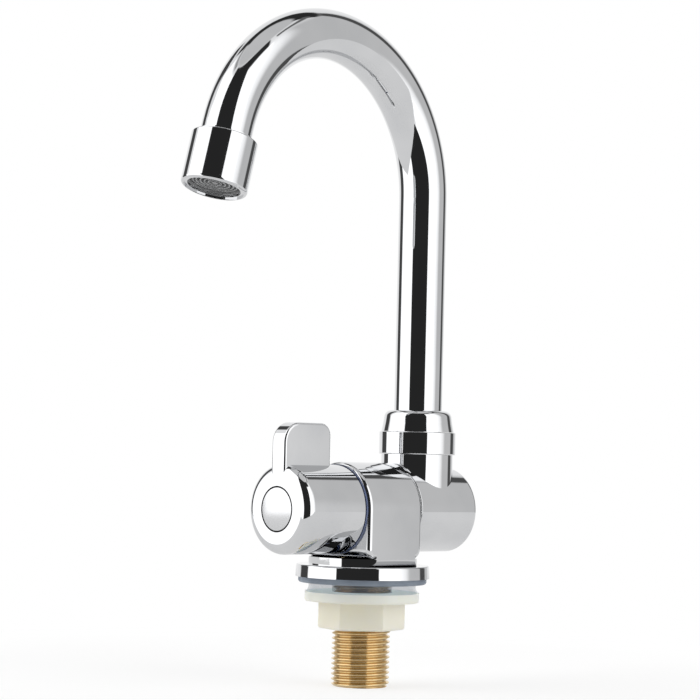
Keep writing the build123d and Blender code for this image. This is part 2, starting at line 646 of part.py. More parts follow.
def handle_screw():
    """Slotted screw that holds the handle on the spindle."""
    head_front = HANDLE_POCKET_X - HANDLE_SCREW_HEAD_HEIGHT
    screw = turned(
        [
            (0, head_front),
            (HANDLE_SCREW_HEAD_RADIUS, head_front),
            (HANDLE_SCREW_HEAD_RADIUS, HANDLE_POCKET_X),
            (HANDLE_SCREW_RADIUS, HANDLE_POCKET_X),
            (HANDLE_SCREW_RADIUS, HANDLE_POCKET_X + HANDLE_SCREW_LENGTH),
            (0, HANDLE_POCKET_X + HANDLE_SCREW_LENGTH),
        ],
        {(HANDLE_SCREW_HEAD_RADIUS, head_front): HANDLE_SCREW_SLOT},
    )
    slot = Box(4 * HANDLE_SCREW_HEAD_RADIUS, HANDLE_SCREW_SLOT, 2 * HANDLE_SCREW_SLOT)
    return screw - Pos(0, 0, head_front) * slot


def pivot_spigot():
    """Hollow pivot screwed into the body. Water leaves it through side ports under the spout."""
    spigot = rod(PIVOT_RADIUS, PIVOT_LEFT_X, PIVOT_RIGHT_X)
    half = PIVOT_WAIST_LENGTH / 2
    spigot -= ring(PIVOT_RADIUS + PAST_FACE, PIVOT_WAIST_RADIUS, SPOUT_X - half, SPOUT_X + half)
    spigot -= rod(PIVOT_BORE_RADIUS, PIVOT_LEFT_X - PAST_FACE, PIVOT_LEFT_X + PIVOT_BORE_LENGTH)
    for place in PolarLocations(0, PIVOT_PORT_COUNT):
        port = Rot(0, 90, 0) * rod(PIVOT_PORT_RADIUS, 0, PIVOT_RADIUS)
        spigot -= Pos(0, 0, SPOUT_X) * place * port
    screw_end = PIVOT_RIGHT_X - PIVOT_SCREW_LENGTH
    spigot -= rod(PIVOT_SCREW_RADIUS + FITTED_GAP, screw_end, PIVOT_RIGHT_X + PAST_FACE)
    return grooved(spigot, PIVOT_RADIUS, [SPOUT_X + offset for offset in PIVOT_RING_OFFSETS])


def pivot_housing():
    """Folding housing: a round barrel on the pivot with an upright socket for the spout."""
    barrel = rod(HOUSING_RADIUS, HOUSING_LEFT_X + SEAM_WIDTH, HOUSING_RIGHT_X)
    barrel = fillet(barrel.faces().sort_by(Axis.Z)[0].edges(), HOUSING_EDGE_ROUND)
    barrel += rod(SEAM_RADIUS, HOUSING_LEFT_X, HOUSING_LEFT_X + SEAM_WIDTH)
    socket = rod(SOCKET_RADIUS, BODY_AXIS_Z, SOCKET_SHOULDER_Z)
    socket += rod(SOCKET_NECK_RADIUS, SOCKET_SHOULDER_Z, SOCKET_TOP_Z)
    housing = ALONG_BODY.location * barrel + Pos(SPOUT_X, 0, 0) * socket
    hollow = rod(PIVOT_HOLE_RADIUS, HOUSING_LEFT_X - PAST_FACE, HOUSING_REAR_WALL_X)
    hollow += rod(HOUSING_POCKET_RADIUS, HOUSING_REAR_WALL_X, HOUSING_RIGHT_X + PAST_FACE)
    well = rod(SOCKET_BORE_RADIUS, SOCKET_FLOOR_Z, SOCKET_TOP_Z + PAST_FACE)
    well += rod(SOCKET_PORT_RADIUS, BODY_AXIS_Z, SOCKET_FLOOR_Z)
    return housing - ALONG_BODY.location * hollow - Pos(SPOUT_X, 0, 0) * well


def pivot_keeper():
    """Washer on the end of the pivot, which keeps the housing on it."""
    bore = PIVOT_SCREW_RADIUS + CIRCLIP_GAP
    return ring(KEEPER_RADIUS, bore, PIVOT_RIGHT_X, PIVOT_RIGHT_X + KEEPER_THICKNESS)


def pivot_screw():
    """Socket screw in the end of the pivot."""
    seat = PIVOT_RIGHT_X + KEEPER_THICKNESS
    top = seat + PIVOT_SCREW_HEAD_HEIGHT
    screw = rod(PIVOT_SCREW_HEAD_RADIUS, seat, top)
    screw += rod(PIVOT_SCREW_RADIUS, seat + FITTED_GAP - PIVOT_SCREW_LENGTH, seat)
    key_radius = PIVOT_SCREW_KEY_FLATS * FLATS_TO_CORNER
    return screw - hexagon_bar(key_radius, top - PIVOT_SCREW_KEY_DEPTH, top + PAST_FACE)


def pivot_end_cap():
    """Plated cap that closes the end of the housing, with a snap-in skirt."""
    face = HOUSING_RIGHT_X + END_CAP_THICKNESS
    skirt_outer = HOUSING_POCKET_RADIUS - FITTED_GAP
    skirt_inner = skirt_outer - END_CAP_SKIRT_WALL
    skirt_end = HOUSING_RIGHT_X - END_CAP_SKIRT_LENGTH
    return turned(
        [
            (0, HOUSING_RIGHT_X),
            (skirt_inner, HOUSING_RIGHT_X),
            (skirt_inner, skirt_end),
            (skirt_outer, skirt_end),
            (skirt_outer, HOUSING_RIGHT_X),
            (HOUSING_RADIUS, HOUSING_RIGHT_X),
            (HOUSING_RADIUS, face),
            (0, face),
        ],
        {(HOUSING_RADIUS, face): END_CAP_ROUND},
    )


def spout_nut():
    """Ring nut on the socket's neck, whose lip holds the spout down."""
    lip_z = SPOUT_NUT_TOP_Z - SPOUT_NUT_LIP
    inner = SOCKET_NECK_RADIUS + RUNNING_GAP
    return turned(
        [
            (inner, SPOUT_NUT_Z),
            (SPOUT_NUT_RADIUS, SPOUT_NUT_Z),
            (SPOUT_NUT_RADIUS, SPOUT_NUT_TOP_Z),
            (SPOUT_NUT_LIP_RADIUS, SPOUT_NUT_TOP_Z),
            (SPOUT_NUT_LIP_RADIUS, lip_z),
            (inner, lip_z),
        ],
        {
            (SPOUT_NUT_RADIUS, SPOUT_NUT_Z): SPOUT_NUT_EDGE_ROUND,
            (SPOUT_NUT_RADIUS, SPOUT_NUT_TOP_Z): SPOUT_NUT_EDGE_ROUND,
        },
    )


def spout_ferrule():
    """Brass end of the spout: a grooved journal, a flange under the nut's lip, a spigot in the tube."""
    spigot_radius = TUBE_RADIUS - TUBE_WALL - FITTED_GAP
    spigot_top = TUBE_BOTTOM_Z + FERRULE_SPIGOT_HEIGHT
    ferrule = turned(
        [
            (FERRULE_BORE_RADIUS, FERRULE_BOTTOM_Z),
            (FERRULE_RADIUS, FERRULE_BOTTOM_Z),
            (FERRULE_RADIUS, FERRULE_FLANGE_Z),
            (FERRULE_FLANGE_RADIUS, FERRULE_FLANGE_Z),
            (FERRULE_FLANGE_RADIUS, TUBE_BOTTOM_Z),
            (spigot_radius, TUBE_BOTTOM_Z),
            (spigot_radius, spigot_top),
            (FERRULE_BORE_RADIUS, spigot_top),
        ]
    )
    return grooved(ferrule, FERRULE_RADIUS, [FERRULE_BOTTOM_Z + height for height in FERRULE_RING_HEIGHTS])


def slip_ring():
    """Plastic ring between the ferrule's flange and the nut's lip."""
    return ring(
        FERRULE_FLANGE_RADIUS, TUBE_RADIUS + FITTED_GAP, TUBE_BOTTOM_Z, TUBE_BOTTOM_Z + SLIP_RING_THICKNESS
    )


def spout_collar():
    """Tapered cover on the foot of the tube, with a softly bent side and a round crown."""
    top = COLLAR_Z + COLLAR_HEIGHT
    middle = (COLLAR_MIDDLE_RADIUS, COLLAR_Z + COLLAR_HEIGHT * COLLAR_MIDDLE_SHARE)
    crown = (COLLAR_CROWN_RADIUS, top)
    return turned(
        [
            (TUBE_RADIUS + FITTED_GAP, COLLAR_Z),
            (COLLAR_BASE_RADIUS, COLLAR_Z),
            middle,
            crown,
            (TUBE_RADIUS + FITTED_GAP, top),
        ],
        {crown: COLLAR_CROWN_ROUND, middle: COLLAR_MIDDLE_ROUND},
    )


def gooseneck(radius, low_z, tail_length):
    """Solid bar along the spout's route: up, round the bend and out along the outlet."""
    start = (0, 0, low_z)
    bend_start = (0, 0, BEND_START_Z)
    riser = Line(start, bend_start)
    half = BEND_END_TILT / 2
    middle = (
        -BEND_RADIUS * (1 - math.cos(half)),
        0,
        BEND_START_Z + BEND_RADIUS * math.sin(half),
    )
    bend_end = (
        -BEND_RADIUS * (1 - math.cos(BEND_END_TILT)),
        0,
        BEND_START_Z + BEND_RADIUS * math.sin(BEND_END_TILT),
    )
    bend = ThreePointArc(bend_start, middle, bend_end)
    end = (
        bend_end[0] - tail_length * math.sin(BEND_END_TILT),
        0,
        bend_end[2] + tail_length * math.cos(BEND_END_TILT),
    )
    route = riser + bend + Line(bend_end, end)
    return sweep(Pos(start) * Circle(radius), path=route)


def spout_tube():
    """Bent tube of the spout."""
    bore = gooseneck(TUBE_RADIUS - TUBE_WALL, TUBE_BOTTOM_Z - PAST_FACE, TUBE_END_S + PAST_FACE)
    return gooseneck(TUBE_RADIUS, TUBE_BOTTOM_Z, TUBE_END_S) - bore


def outlet_adaptor():
    """Threaded ring on the end of the tube, with a lip that shows above the aerator."""
    bore = TUBE_RADIUS + FITTED_GAP
    return turned(
        [
            (bore, ADAPTOR_TOP_S),
            (ADAPTOR_LIP_RADIUS, ADAPTOR_TOP_S),
            (ADAPTOR_LIP_RADIUS, AERATOR_TOP_S),
            (ADAPTOR_RADIUS, AERATOR_TOP_S),
            (ADAPTOR_RADIUS, ADAPTOR_END_S),
            (bore, ADAPTOR_END_S),
        ]
    )


def aerator_housing():
    """Plated barrel screwed on the adaptor, with a thin rim and a turned-in lip at its mouth."""
    thread = ADAPTOR_RADIUS + FITTED_GAP
    return turned(
        [
            (thread, AERATOR_TOP_S),
            (AERATOR_RADIUS, AERATOR_TOP_S),
            (AERATOR_RADIUS, AERATOR_END_S),
            (AERATOR_RIM_RADIUS, AERATOR_END_S),
            (AERATOR_RIM_RADIUS, AERATOR_LIP_S),
            (AERATOR_MOUTH_RADIUS, AERATOR_LIP_S),
            (AERATOR_MOUTH_RADIUS, INSERT_END_S),
            (AERATOR_SEAT_RADIUS, INSERT_END_S),
            (AERATOR_SEAT_RADIUS, AERATOR_WASHER_S),
            (thread, AERATOR_WASHER_S),
        ],
        {
            (AERATOR_RADIUS, AERATOR_TOP_S): AERATOR_TOP_ROUND,
            (AERATOR_RADIUS, AERATOR_END_S): AERATOR_RIM_ROUND,
        },
    )


def aerator_insert():
    """Plastic flow former: a drilled plate at the top and concentric rings on spokes at the mouth."""
    sleeve = ring(INSERT_RADIUS, INSERT_INNER_RADIUS, INSERT_TOP_S, INSERT_END_S)
    plate = rod(INSERT_INNER_RADIUS, INSERT_TOP_S, INSERT_TOP_S + INSERT_PLATE_THICKNESS)
    below, above = INSERT_TOP_S - PAST_FACE, INSERT_TOP_S + INSERT_PLATE_THICKNESS + PAST_FACE
    for hole in hole_rings(INSERT_HOLE_CIRCLES, INSERT_HOLE_COUNTS, INSERT_HOLE_RADIUS, below, above):
        plate -= hole
    low = INSERT_END_S - INSERT_RIM_STEP - INSERT_RING_HEIGHT
    high = INSERT_END_S - INSERT_RIM_STEP
    grille = rod(INSERT_BUTTON_RADIUS, low, high)
    for radius in INSERT_RING_RADII:
        grille += ring(radius + INSERT_RING_WALL / 2, radius - INSERT_RING_WALL / 2, low, high)
    spoke_height = INSERT_RING_HEIGHT / 2
    for place in PolarLocations(0, INSERT_SPOKE_COUNT):
        spoke = Box(INSERT_INNER_RADIUS, INSERT_SPOKE_WIDTH, spoke_height)
        grille += place * Pos(INSERT_INNER_RADIUS / 2, 0, low + spoke_height / 2) * spoke
    return sleeve + plate + grille


def aerator_screen():
    """Perforated steel screen inside the flow former."""
    low = INSERT_TOP_S + SCREEN_HEIGHT
    high = low + SCREEN_THICKNESS
    screen = rod(INSERT_INNER_RADIUS - FITTED_GAP, low, high)
    below, above = low - PAST_FACE, high + PAST_FACE
    for hole in hole_rings(SCREEN_HOLE_CIRCLES, SCREEN_HOLE_COUNTS, SCREEN_HOLE_RADIUS, below, above):
        screen -= hole
    return screen


def aerator_washer():
    """Rubber washer between the adaptor and the flow former."""
    return ring(INSERT_RADIUS, AERATOR_WASHER_BORE, AERATOR_WASHER_S, INSERT_TOP_S)


def thrust_washer():
    """Plastic washer between the body and the folding housing."""
    return ring(THRUST_WASHER_RADIUS, PIVOT_RADIUS + CLEAR_GAP, BLOCK_RIGHT_X, HOUSING_LEFT_X)


def index_ring():
    """Blue cold-water ring round the body's neck."""
    return ring(INDEX_RING_RADIUS, NECK_RADIUS + FITTED_GAP, INDEX_RING_X, BLOCK_LEFT_X)


def cartridge_seal():
    """Rubber seal between the fixed disc and the body's seat."""
    return ring(DISC_RADIUS, DISC_RADIUS - SEAL_WIDTH, DISC_FACE_X, SEAT_X)


tail_stud, tail_rings = tail()
cartridge, cartridge_rings = cartridge_body()
spindle, spindle_rings = cartridge_spindle()
spigot, pivot_rings = pivot_spigot()
ferrule, ferrule_rings = spout_ferrule()

# Pieces by the axis on which they are turned
upright_pieces = {
    "tail_stud": [tail_stud],
    "tail_o_ring": tail_rings,
    "riser_gasket": [riser_gasket()],
    "riser_ring": [riser_ring()],
    "clear_clamp_washer": [clamp_washer()],
    "backnut": [backnut()],
    "body": [body()],
    "handle": [handle()],
    "pivot_housing": [pivot_housing()],
}
body_axis_pieces = {
    "cold_index_ring": [index_ring()],
    "cartridge_body": [cartridge],
    "cartridge_o_ring": cartridge_rings,
    "cartridge_seal": [cartridge_seal()],
    "fixed_ceramic_disc": [fixed_disc()],
    "moving_ceramic_disc": [moving_disc()],
    "cartridge_spindle": [spindle],
    "spindle_o_rings": spindle_rings,
    "spindle_circlip": [spindle_circlip()],
    "handle_screw": [handle_screw()],
    "handle_index_cap": [index_cap()],
    "pivot_thrust_washer": [thrust_washer()],
    "pivot_spigot": [spigot],
    "pivot_o_rings": pivot_rings,
    "pivot_keeper_washer": [pivot_keeper()],
    "pivot_screw": [pivot_screw()],
    "pivot_end_cap": [pivot_end_cap()],
}
spout_axis_pieces = {
    "spout_nut": [spout_nut()],
    "spout_ferrule": [ferrule],
    "spout_o_rings": ferrule_rings,
    "spout_slip_ring": [slip_ring()],
    "spout_collar": [spout_collar()],
    "spout_tube": [spout_tube()],
}
outlet_pieces = {
    "outlet_adaptor": [outlet_adaptor()],
    "aerator_housing": [aerator_housing()],
    "aerator_washer": [aerator_washer()],
    "aerator_insert": [aerator_insert()],
    "aerator_screen": [aerator_screen()],
}

os.makedirs("parts", exist_ok=True)
placed_groups = (
    (Location(), upright_pieces),
    (ALONG_BODY.location, body_axis_pieces),
    (UP_SPOUT, spout_axis_pieces),
    (OUT_OF_SPOUT, outlet_pieces),
)
for place, group in placed_groups:
    for name, solids in group.items():
        placed = [place * solid for solid in solids]
        shape = placed[0] if len(placed) == 1 else Compound(children=placed)
        export_step(shape, f"parts/{name}.step")
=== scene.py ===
import logging
import math
from dataclasses import dataclass
from enum import Enum
from typing import Dict, Sequence, Tuple, Union

import bmesh
import bpy
import numpy as np
from mathutils import Matrix, Vector


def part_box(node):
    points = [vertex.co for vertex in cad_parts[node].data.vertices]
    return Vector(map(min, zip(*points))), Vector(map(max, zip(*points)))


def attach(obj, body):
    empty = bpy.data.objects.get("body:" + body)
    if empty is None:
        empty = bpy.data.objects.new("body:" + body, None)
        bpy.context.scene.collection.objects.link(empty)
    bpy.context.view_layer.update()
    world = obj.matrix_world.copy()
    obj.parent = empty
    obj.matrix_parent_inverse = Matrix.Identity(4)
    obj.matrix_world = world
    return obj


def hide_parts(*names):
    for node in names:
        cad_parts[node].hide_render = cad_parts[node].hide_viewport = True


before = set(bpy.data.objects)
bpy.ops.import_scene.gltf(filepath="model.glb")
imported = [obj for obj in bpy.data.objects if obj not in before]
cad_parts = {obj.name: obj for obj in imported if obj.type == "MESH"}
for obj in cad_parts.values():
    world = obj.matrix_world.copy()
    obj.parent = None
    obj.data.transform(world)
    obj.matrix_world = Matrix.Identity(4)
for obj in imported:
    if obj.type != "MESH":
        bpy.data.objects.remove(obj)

LOG = logging.getLogger("basin_tap")
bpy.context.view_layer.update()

Colour = Tuple[float, float, float]
Point = Tuple[float, float, float]
Span = Tuple[float, float]
Socket = bpy.types.NodeSocket
Feed = Union[Socket, float, Sequence[float]]

BLACK: Colour = (0.0, 0.0, 0.0)
UP: Point = (0.0, 0.0, 1.0)
METAL = 1.0
# The values between which a noise mostly lies.
NOISE_SPAN: Span = (0.3, 0.7)
# Share of a grain's slope that its bump keeps.
GRAIN_STRENGTH = 0.8
# Radii between which valve and ferrule brass gets its painted root shade: only on the axis itself, so it
# stays even.
EVEN_BRASS = {"root_radius": 0.0, "crest_radius": 0.001}
# Points nearer than this are one point, in metres.
MERGE_DISTANCE = 1e-7
SHARP_ANGLE = math.radians(40)
# A Mix node's places for its first value, its second value and its result, in colours and in numbers.
MIX_PLACES: Dict[str, Tuple[int, int, int]] = {"RGBA": (6, 7, 2), "FLOAT": (2, 3, 0)}


class Polish(Enum):
    """How the metal was brought to a shine before it was plated."""

    CASTING = "casting"
    DRAWN_TUBE = "drawn_tube"
    TURNED = "turned"


# Height of the ripple that each polish leaves, in metres.
RIPPLE_DEPTH: Dict[Polish, float] = {
    Polish.CASTING: 0.000006,
    Polish.DRAWN_TUBE: 0.000002,
    Polish.TURNED: 0.0000004,
}


class Lathe(Enum):
    """The axis that a turned piece was made round."""

    UPRIGHT = "upright"
    ALONG_BODY = "along_body"
    UP_SPOUT = "up_spout"
    OUTLET = "outlet"


class Rays(Enum):
    """Kinds of ray that a surface of the room can tell apart."""

    CAMERA = "Is Camera Ray"
    GLOSSY = "Is Glossy Ray"
    TRANSMISSION = "Is Transmission Ray"


class Wiring:
    """Adds shader nodes to one tree and joins them."""

    def __init__(self, tree: bpy.types.NodeTree) -> None:
        """Keeps the node tree of a material, a world or a group."""
        self.tree = tree

    def node(self, kind: str, **settings: object) -> bpy.types.Node:
        """Adds a node and sets its own options.

        Args:
            kind: the node's type name.
            settings: attributes of the node.

        Returns:
            The new node.
        """
        made = self.tree.nodes.new(kind)
        for name, value in settings.items():
            setattr(made, name, value)
        return made

    def feed(self, source: Feed, target: Socket) -> None:
        """Joins a socket to a target, or writes a plain value on it.

        Args:
            source: an output socket, a number or a row of numbers.
            target: the input socket.
        """
        if isinstance(source, Socket):
            self.tree.links.new(source, target)
        else:
            target.default_value = source

    def fill(self, node: bpy.types.Node, **feeds: Feed) -> bpy.types.Node:
        """Feeds several inputs of a node.

        Args:
            node: the node.
            feeds: input name, with spaces written as underscores, and what goes in.

        Returns:
            The same node.
        """
        for name, value in feeds.items():
            self.feed(value, node.inputs[name.replace("_", " ")])
        return node

    def group(self, tree: bpy.types.NodeTree, **feeds: Feed) -> bpy.types.Node:
        """Places a shared group, feeds its inputs as fill does and returns its node."""
        return self.fill(self.node("ShaderNodeGroup", node_tree=tree), **feeds)

    def object_place(self) -> Socket:
        """Adds the Object coordinates and returns their socket."""
        return self.node("ShaderNodeTexCoord").outputs["Object"]

    def split(self, vector: Feed) -> Tuple[Socket, ...]:
        """Takes a vector apart.

        Args:
            vector: the vector.

        Returns:
            The sockets of its X, Y and Z.
        """
        made = self.node("ShaderNodeSeparateXYZ")
        self.feed(vector, made.inputs[0])
        return tuple(made.outputs)

    def math(self, operation: str, first: Feed, second: Feed = 0.0, third: Feed = 0.0) -> Socket:
        """Adds a Math node.

        Args:
            operation: the sum it does.
            first: its first number.
            second: its second number.
            third: its third number, where it has one.

        Returns:
            The result's socket.
        """
        made = self.node("ShaderNodeMath", operation=operation)
        for socket, value in zip(made.inputs, (first, second, third)):
            self.feed(value, socket)
        return made.outputs[0]

    def ramp(self, value: Feed, low: Feed, high: Feed, start: float = 0.0, end: float = 1.0,
             smooth: bool = True) -> Socket:
        """Adds a Map Range node from low...high to start...end, held at its ends.

        Args:
            value: what is mapped.
            low: the value that gives start.
            high: the value that gives end.
            start: the result at and before low.
            end: the result at and after high.
            smooth: whether the step is rounded off.

        Returns:
            The mapped value's socket.
        """
        shape = "SMOOTHSTEP" if smooth else "LINEAR"
        made = self.node("ShaderNodeMapRange", interpolation_type=shape)
        self.fill(made, Value=value, From_Min=low, From_Max=high, To_Min=start, To_Max=end)
        return made.outputs["Result"]

    def blend(self, factor: Feed, first: Feed, second: Feed, kind: str = "RGBA") -> Socket:
        """Mixes two colours or two numbers.

        Args:
            factor: 0 gives the first and 1 the second.
            first: a linear colour, a number or a socket.
            second: a linear colour, a number or a socket.
            kind: RGBA for colours and FLOAT for numbers.

        Returns:
            The mixed value's socket.
        """
        made = self.node("ShaderNodeMix", data_type=kind)
        first_place, second_place, result_place = MIX_PLACES[kind]
        self.feed(factor, made.inputs[0])
        for value, place in ((first, first_place), (second, second_place)):
            self.feed((*value, 1.0) if isinstance(value, tuple) else value, made.inputs[place])
        return made.outputs[result_place]

    def noise(self, place: Feed, scale: Feed, detail: float, along: bool = False) -> Socket:
        """Adds a Noise Texture node.

        Args:
            place: where it is read: a vector, or a distance if along is set.
            scale: how many cells lie in a metre.
            detail: how many finer layers it has.
            along: whether it changes with one distance only.

        Returns:
            The noise's socket, 0 to 1.
        """
        made = self.node("ShaderNodeTexNoise", noise_dimensions="1D" if along else "3D")
        self.feed(place, made.inputs["W" if along else "Vector"])
        self.fill(made, Scale=scale, Detail=detail)
        return made.outputs["Fac"]

    def bump(self, height: Socket, depth: float, strength: float = GRAIN_STRENGTH) -> Socket:
        """Turns a height, of which 1 stands for depth metres, into a normal, keeping a share of its slope."""
        made = self.fill(self.node("ShaderNodeBump"), Strength=strength, Distance=depth, Height=height)
        return made.outputs["Normal"]

    def rays(self, *kinds: Rays) -> Socket:
        """Tells some kinds of ray from the others.

        Args:
            kinds: the kinds of ray.

        Returns:
            A socket that is 1 for these kinds and 0 for all others.
        """
        paths = self.node("ShaderNodeLightPath")
        found, *others = (paths.outputs[kind.value] for kind in kinds)
        for other in others:
            found = self.math("MAXIMUM", found, other)
        return found

    def surface(self, kind: str, **feeds: Feed) -> Socket:
        """Adds a shader by its node's type name, feeds it as fill does and returns its socket."""
        return self.fill(self.node(kind), **feeds).outputs[0]

    def join(self, kind: str, *feeds: Feed) -> Socket:
        """Adds a node that mixes or adds two shaders.

        Args:
            kind: the node's type name.
            feeds: what goes into its inputs, in their order.

        Returns:
            The joined shader's socket.
        """
        made = self.node(kind)
        for value, socket in zip(feeds, made.inputs):
            self.feed(value, socket)
        return made.outputs[0]


class SharedEffects:
    """Node groups that several finishes place, each built on first use."""

    def __init__(self) -> None:
        """Starts with no group built."""
        self._built: Dict[str, bpy.types.NodeTree] = {}

    def _new_group(self, name: str, inputs: Sequence[str],
                   outputs: Sequence[str]) -> Tuple[Wiring, Dict[str, Socket], Dict[str, Socket]]:
        """Makes an empty group with its sockets.

        Args:
            name: the group's name.
            inputs: names of its inputs; Vector is a vector and the others are numbers.
            outputs: names of its outputs, all numbers.

        Returns:
            The wiring of the new group, what comes in by name, and what goes out by name.
        """
        tree = bpy.data.node_groups.new(name, "ShaderNodeTree")
        for labels, way in ((inputs, "INPUT"), (outputs, "OUTPUT")):
            for label in labels:
                kind = "NodeSocketVector" if label == "Vector" else "NodeSocketFloat"
                tree.interface.new_socket(name=label, in_out=way, socket_type=kind)
        self._built[name] = tree
        wire = Wiring(tree)
        given = wire.node("NodeGroupInput").outputs
        leave = wire.node("NodeGroupOutput").inputs
        return wire, {label: given[label] for label in inputs}, {label: leave[label] for label in outputs}

    def grain(self) -> bpy.types.NodeTree:
        """Fine grain over broad mottling, for moulded, cast and rubber surfaces.

        Returns:
            A group with inputs Vector, Fine and Broad, and outputs Fine Height and Mottle.
        """
        name, fine_layers, broad_layers = "surface_grain", 3.0, 2.0
        if name not in self._built:
            wire, given, leave = self._new_group(name, ("Vector", "Fine", "Broad"), ("Fine Height", "Mottle"))
            wire.feed(wire.noise(given["Vector"], given["Fine"], fine_layers), leave["Fine Height"])
            broad = wire.noise(given["Vector"], given["Broad"], broad_layers)
            wire.feed(wire.ramp(broad, *NOISE_SPAN), leave["Mottle"])
        return self._built[name]

    def turning_lines(self) -> bpy.types.NodeTree:
        """Fine rings left by a lathe: noise along the sum of the distance along Z and that from Z.

        Returns:
            A group with inputs Vector and Lines, and outputs Line Height and Radius.
        """
        name, layers = "turning_lines", 2.0
        if name not in self._built:
            wire, given, leave = self._new_group(name, ("Vector", "Lines"), ("Line Height", "Radius"))
            across, deep, along = wire.split(given["Vector"])
            square = wire.math("MULTIPLY_ADD", across, across, wire.math("MULTIPLY", deep, deep))
            radius = wire.math("SQRT", square)
            line = wire.noise(wire.math("ADD", radius, along), given["Lines"], layers, along=True)
            wire.feed(line, leave["Line Height"])
            wire.feed(radius, leave["Radius"])
        return self._built[name]

    def studio_card(self) -> bpy.types.NodeTree:
        """Mask of one soft-edged patch of the room, between two bearings and two heights, that may lean.

        Each of the four steps is centred on its limit and as wide as Edge, and the mask is their product.

        Returns:
            A group with inputs Bearing, Height, Left, Right, Bottom, Top, Edge and Lean, and output Mask.
        """
        name, half = "studio_card", 0.5
        if name not in self._built:
            labels = ("Bearing", "Height", "Left", "Right", "Bottom", "Top", "Edge", "Lean")
            wire, given, leave = self._new_group(name, labels, ("Mask",))
            height = given["Height"]
            bearing = wire.math("MULTIPLY_ADD", height, given["Lean"], given["Bearing"])
            steps = []
            for value, limit, way in ((bearing, "Left", half), (bearing, "Right", -half),
                                      (height, "Bottom", half), (height, "Top", -half)):
                past = wire.math("SUBTRACT", value, given[limit])
                steps.append(wire.ramp(wire.math("DIVIDE", past, given["Edge"]), -way, way))
            across = wire.math("MULTIPLY", steps[0], steps[1])
            upright = wire.math("MULTIPLY", steps[2], steps[3])
            wire.feed(wire.math("MULTIPLY", across, upright), leave["Mask"])
        return self._built[name]


@dataclass(frozen=True)
class LatheFrame:
    """Where a turned piece's own axis lies: a point on it and the axis that is brought onto Z."""

    origin: Point
    axis: Point

    def coordinates(self, wire: Wiring) -> Socket:
        """Object coordinates moved and turned so that the piece's axis is Z.

        Args:
            wire: the wiring of the material.

        Returns:
            The vector's socket.
        """
        turn = Vector(UP).rotation_difference(Vector(self.axis)).to_euler()
        moved = wire.node("ShaderNodeMapping", vector_type="TEXTURE")
        wire.fill(moved, Location=self.origin, Rotation=turn, Vector=wire.object_place())
        return moved.outputs["Vector"]


LATHE_FRAMES: Dict[Lathe, LatheFrame] = {
    Lathe.UPRIGHT: LatheFrame((0.0, 0.0, 0.0), UP),
    Lathe.ALONG_BODY: LatheFrame((0.0, 0.0, 0.0264), (1.0, 0.0, 0.0)),
    Lathe.UP_SPOUT: LatheFrame((0.0266, 0.0, 0.0), UP),
    Lathe.OUTLET: LatheFrame(
        (-0.0810789, -0.0099891, 0.1424252), (-0.2627449, -0.0243741, -0.9645574),
    ),
}


@dataclass(frozen=True)
class Finish:
    """Base of every finish: a name, and a procedural material built once."""

    name: str

    def material(self, effects: SharedEffects) -> bpy.types.Material:
        """The finish as a Blender material.

        Args:
            effects: the shared node groups.

        Returns:
            The material, made on first use.
        """
        made = bpy.data.materials.get(self.name)
        if made is None:
            made = bpy.data.materials.new(self.name)
            made.use_nodes = True
            self.wire(Wiring(made.node_tree), made.node_tree.nodes["Principled BSDF"], effects)
        return made

    def wire(self, wire: Wiring, shader: bpy.types.Node, effects: SharedEffects) -> None:
        """Sets and feeds the Principled BSDF. Each finish has its own."""
        raise NotImplementedError

    def dress(self, node: str, effects: SharedEffects) -> None:
        """Puts the finish on every material slot of a CAD node.

        Args:
            node: the CAD node's name.
            effects: the shared node groups.
        """
        made = self.material(effects)
        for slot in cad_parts[node].material_slots:
            slot.material = made
        LOG.info("%s: %s", node, self.name)


@dataclass(frozen=True)
class ChromePlate(Finish):
    """Bright chrome over polished brass: a mirror with a slight haze and the ripple left by polishing."""

    polish: Polish = Polish.CASTING
    lathe: Lathe = Lathe.UPRIGHT
    bright: Colour = (0.715, 0.72, 0.73)
    dull: Colour = (0.665, 0.672, 0.685)
    smoothest: float = 0.012
    haziest: float = 0.05
    ripple_scale: float = 240.0
    mottle_scale: float = 55.0
    line_scale: float = 9000.0
    line_haze: float = 0.03

    def wire(self, wire: Wiring, shader: bpy.types.Node, effects: SharedEffects) -> None:
        """Tone and haze follow broad mottling; castings ripple, turned pieces keep faint rings.

        Args:
            wire: the wiring of the material.
            shader: its Principled BSDF.
            effects: the shared node groups.
        """
        place = LATHE_FRAMES[self.lathe].coordinates(wire)
        grain = wire.group(effects.grain(), Vector=place, Fine=self.ripple_scale, Broad=self.mottle_scale)
        mottle, height = grain.outputs["Mottle"], grain.outputs["Fine Height"]
        haze = wire.ramp(mottle, 0.0, 1.0, self.smoothest, self.haziest)
        if self.polish is Polish.TURNED:
            lines = wire.group(effects.turning_lines(), Vector=place, Lines=self.line_scale)
            height = lines.outputs["Line Height"]
            haze = wire.math("MULTIPLY_ADD", height, self.line_haze, haze)
        wire.fill(shader, Base_Color=wire.blend(mottle, self.bright, self.dull), Roughness=haze,
                  Normal=wire.bump(height, RIPPLE_DEPTH[self.polish], strength=1.0), Metallic=METAL)


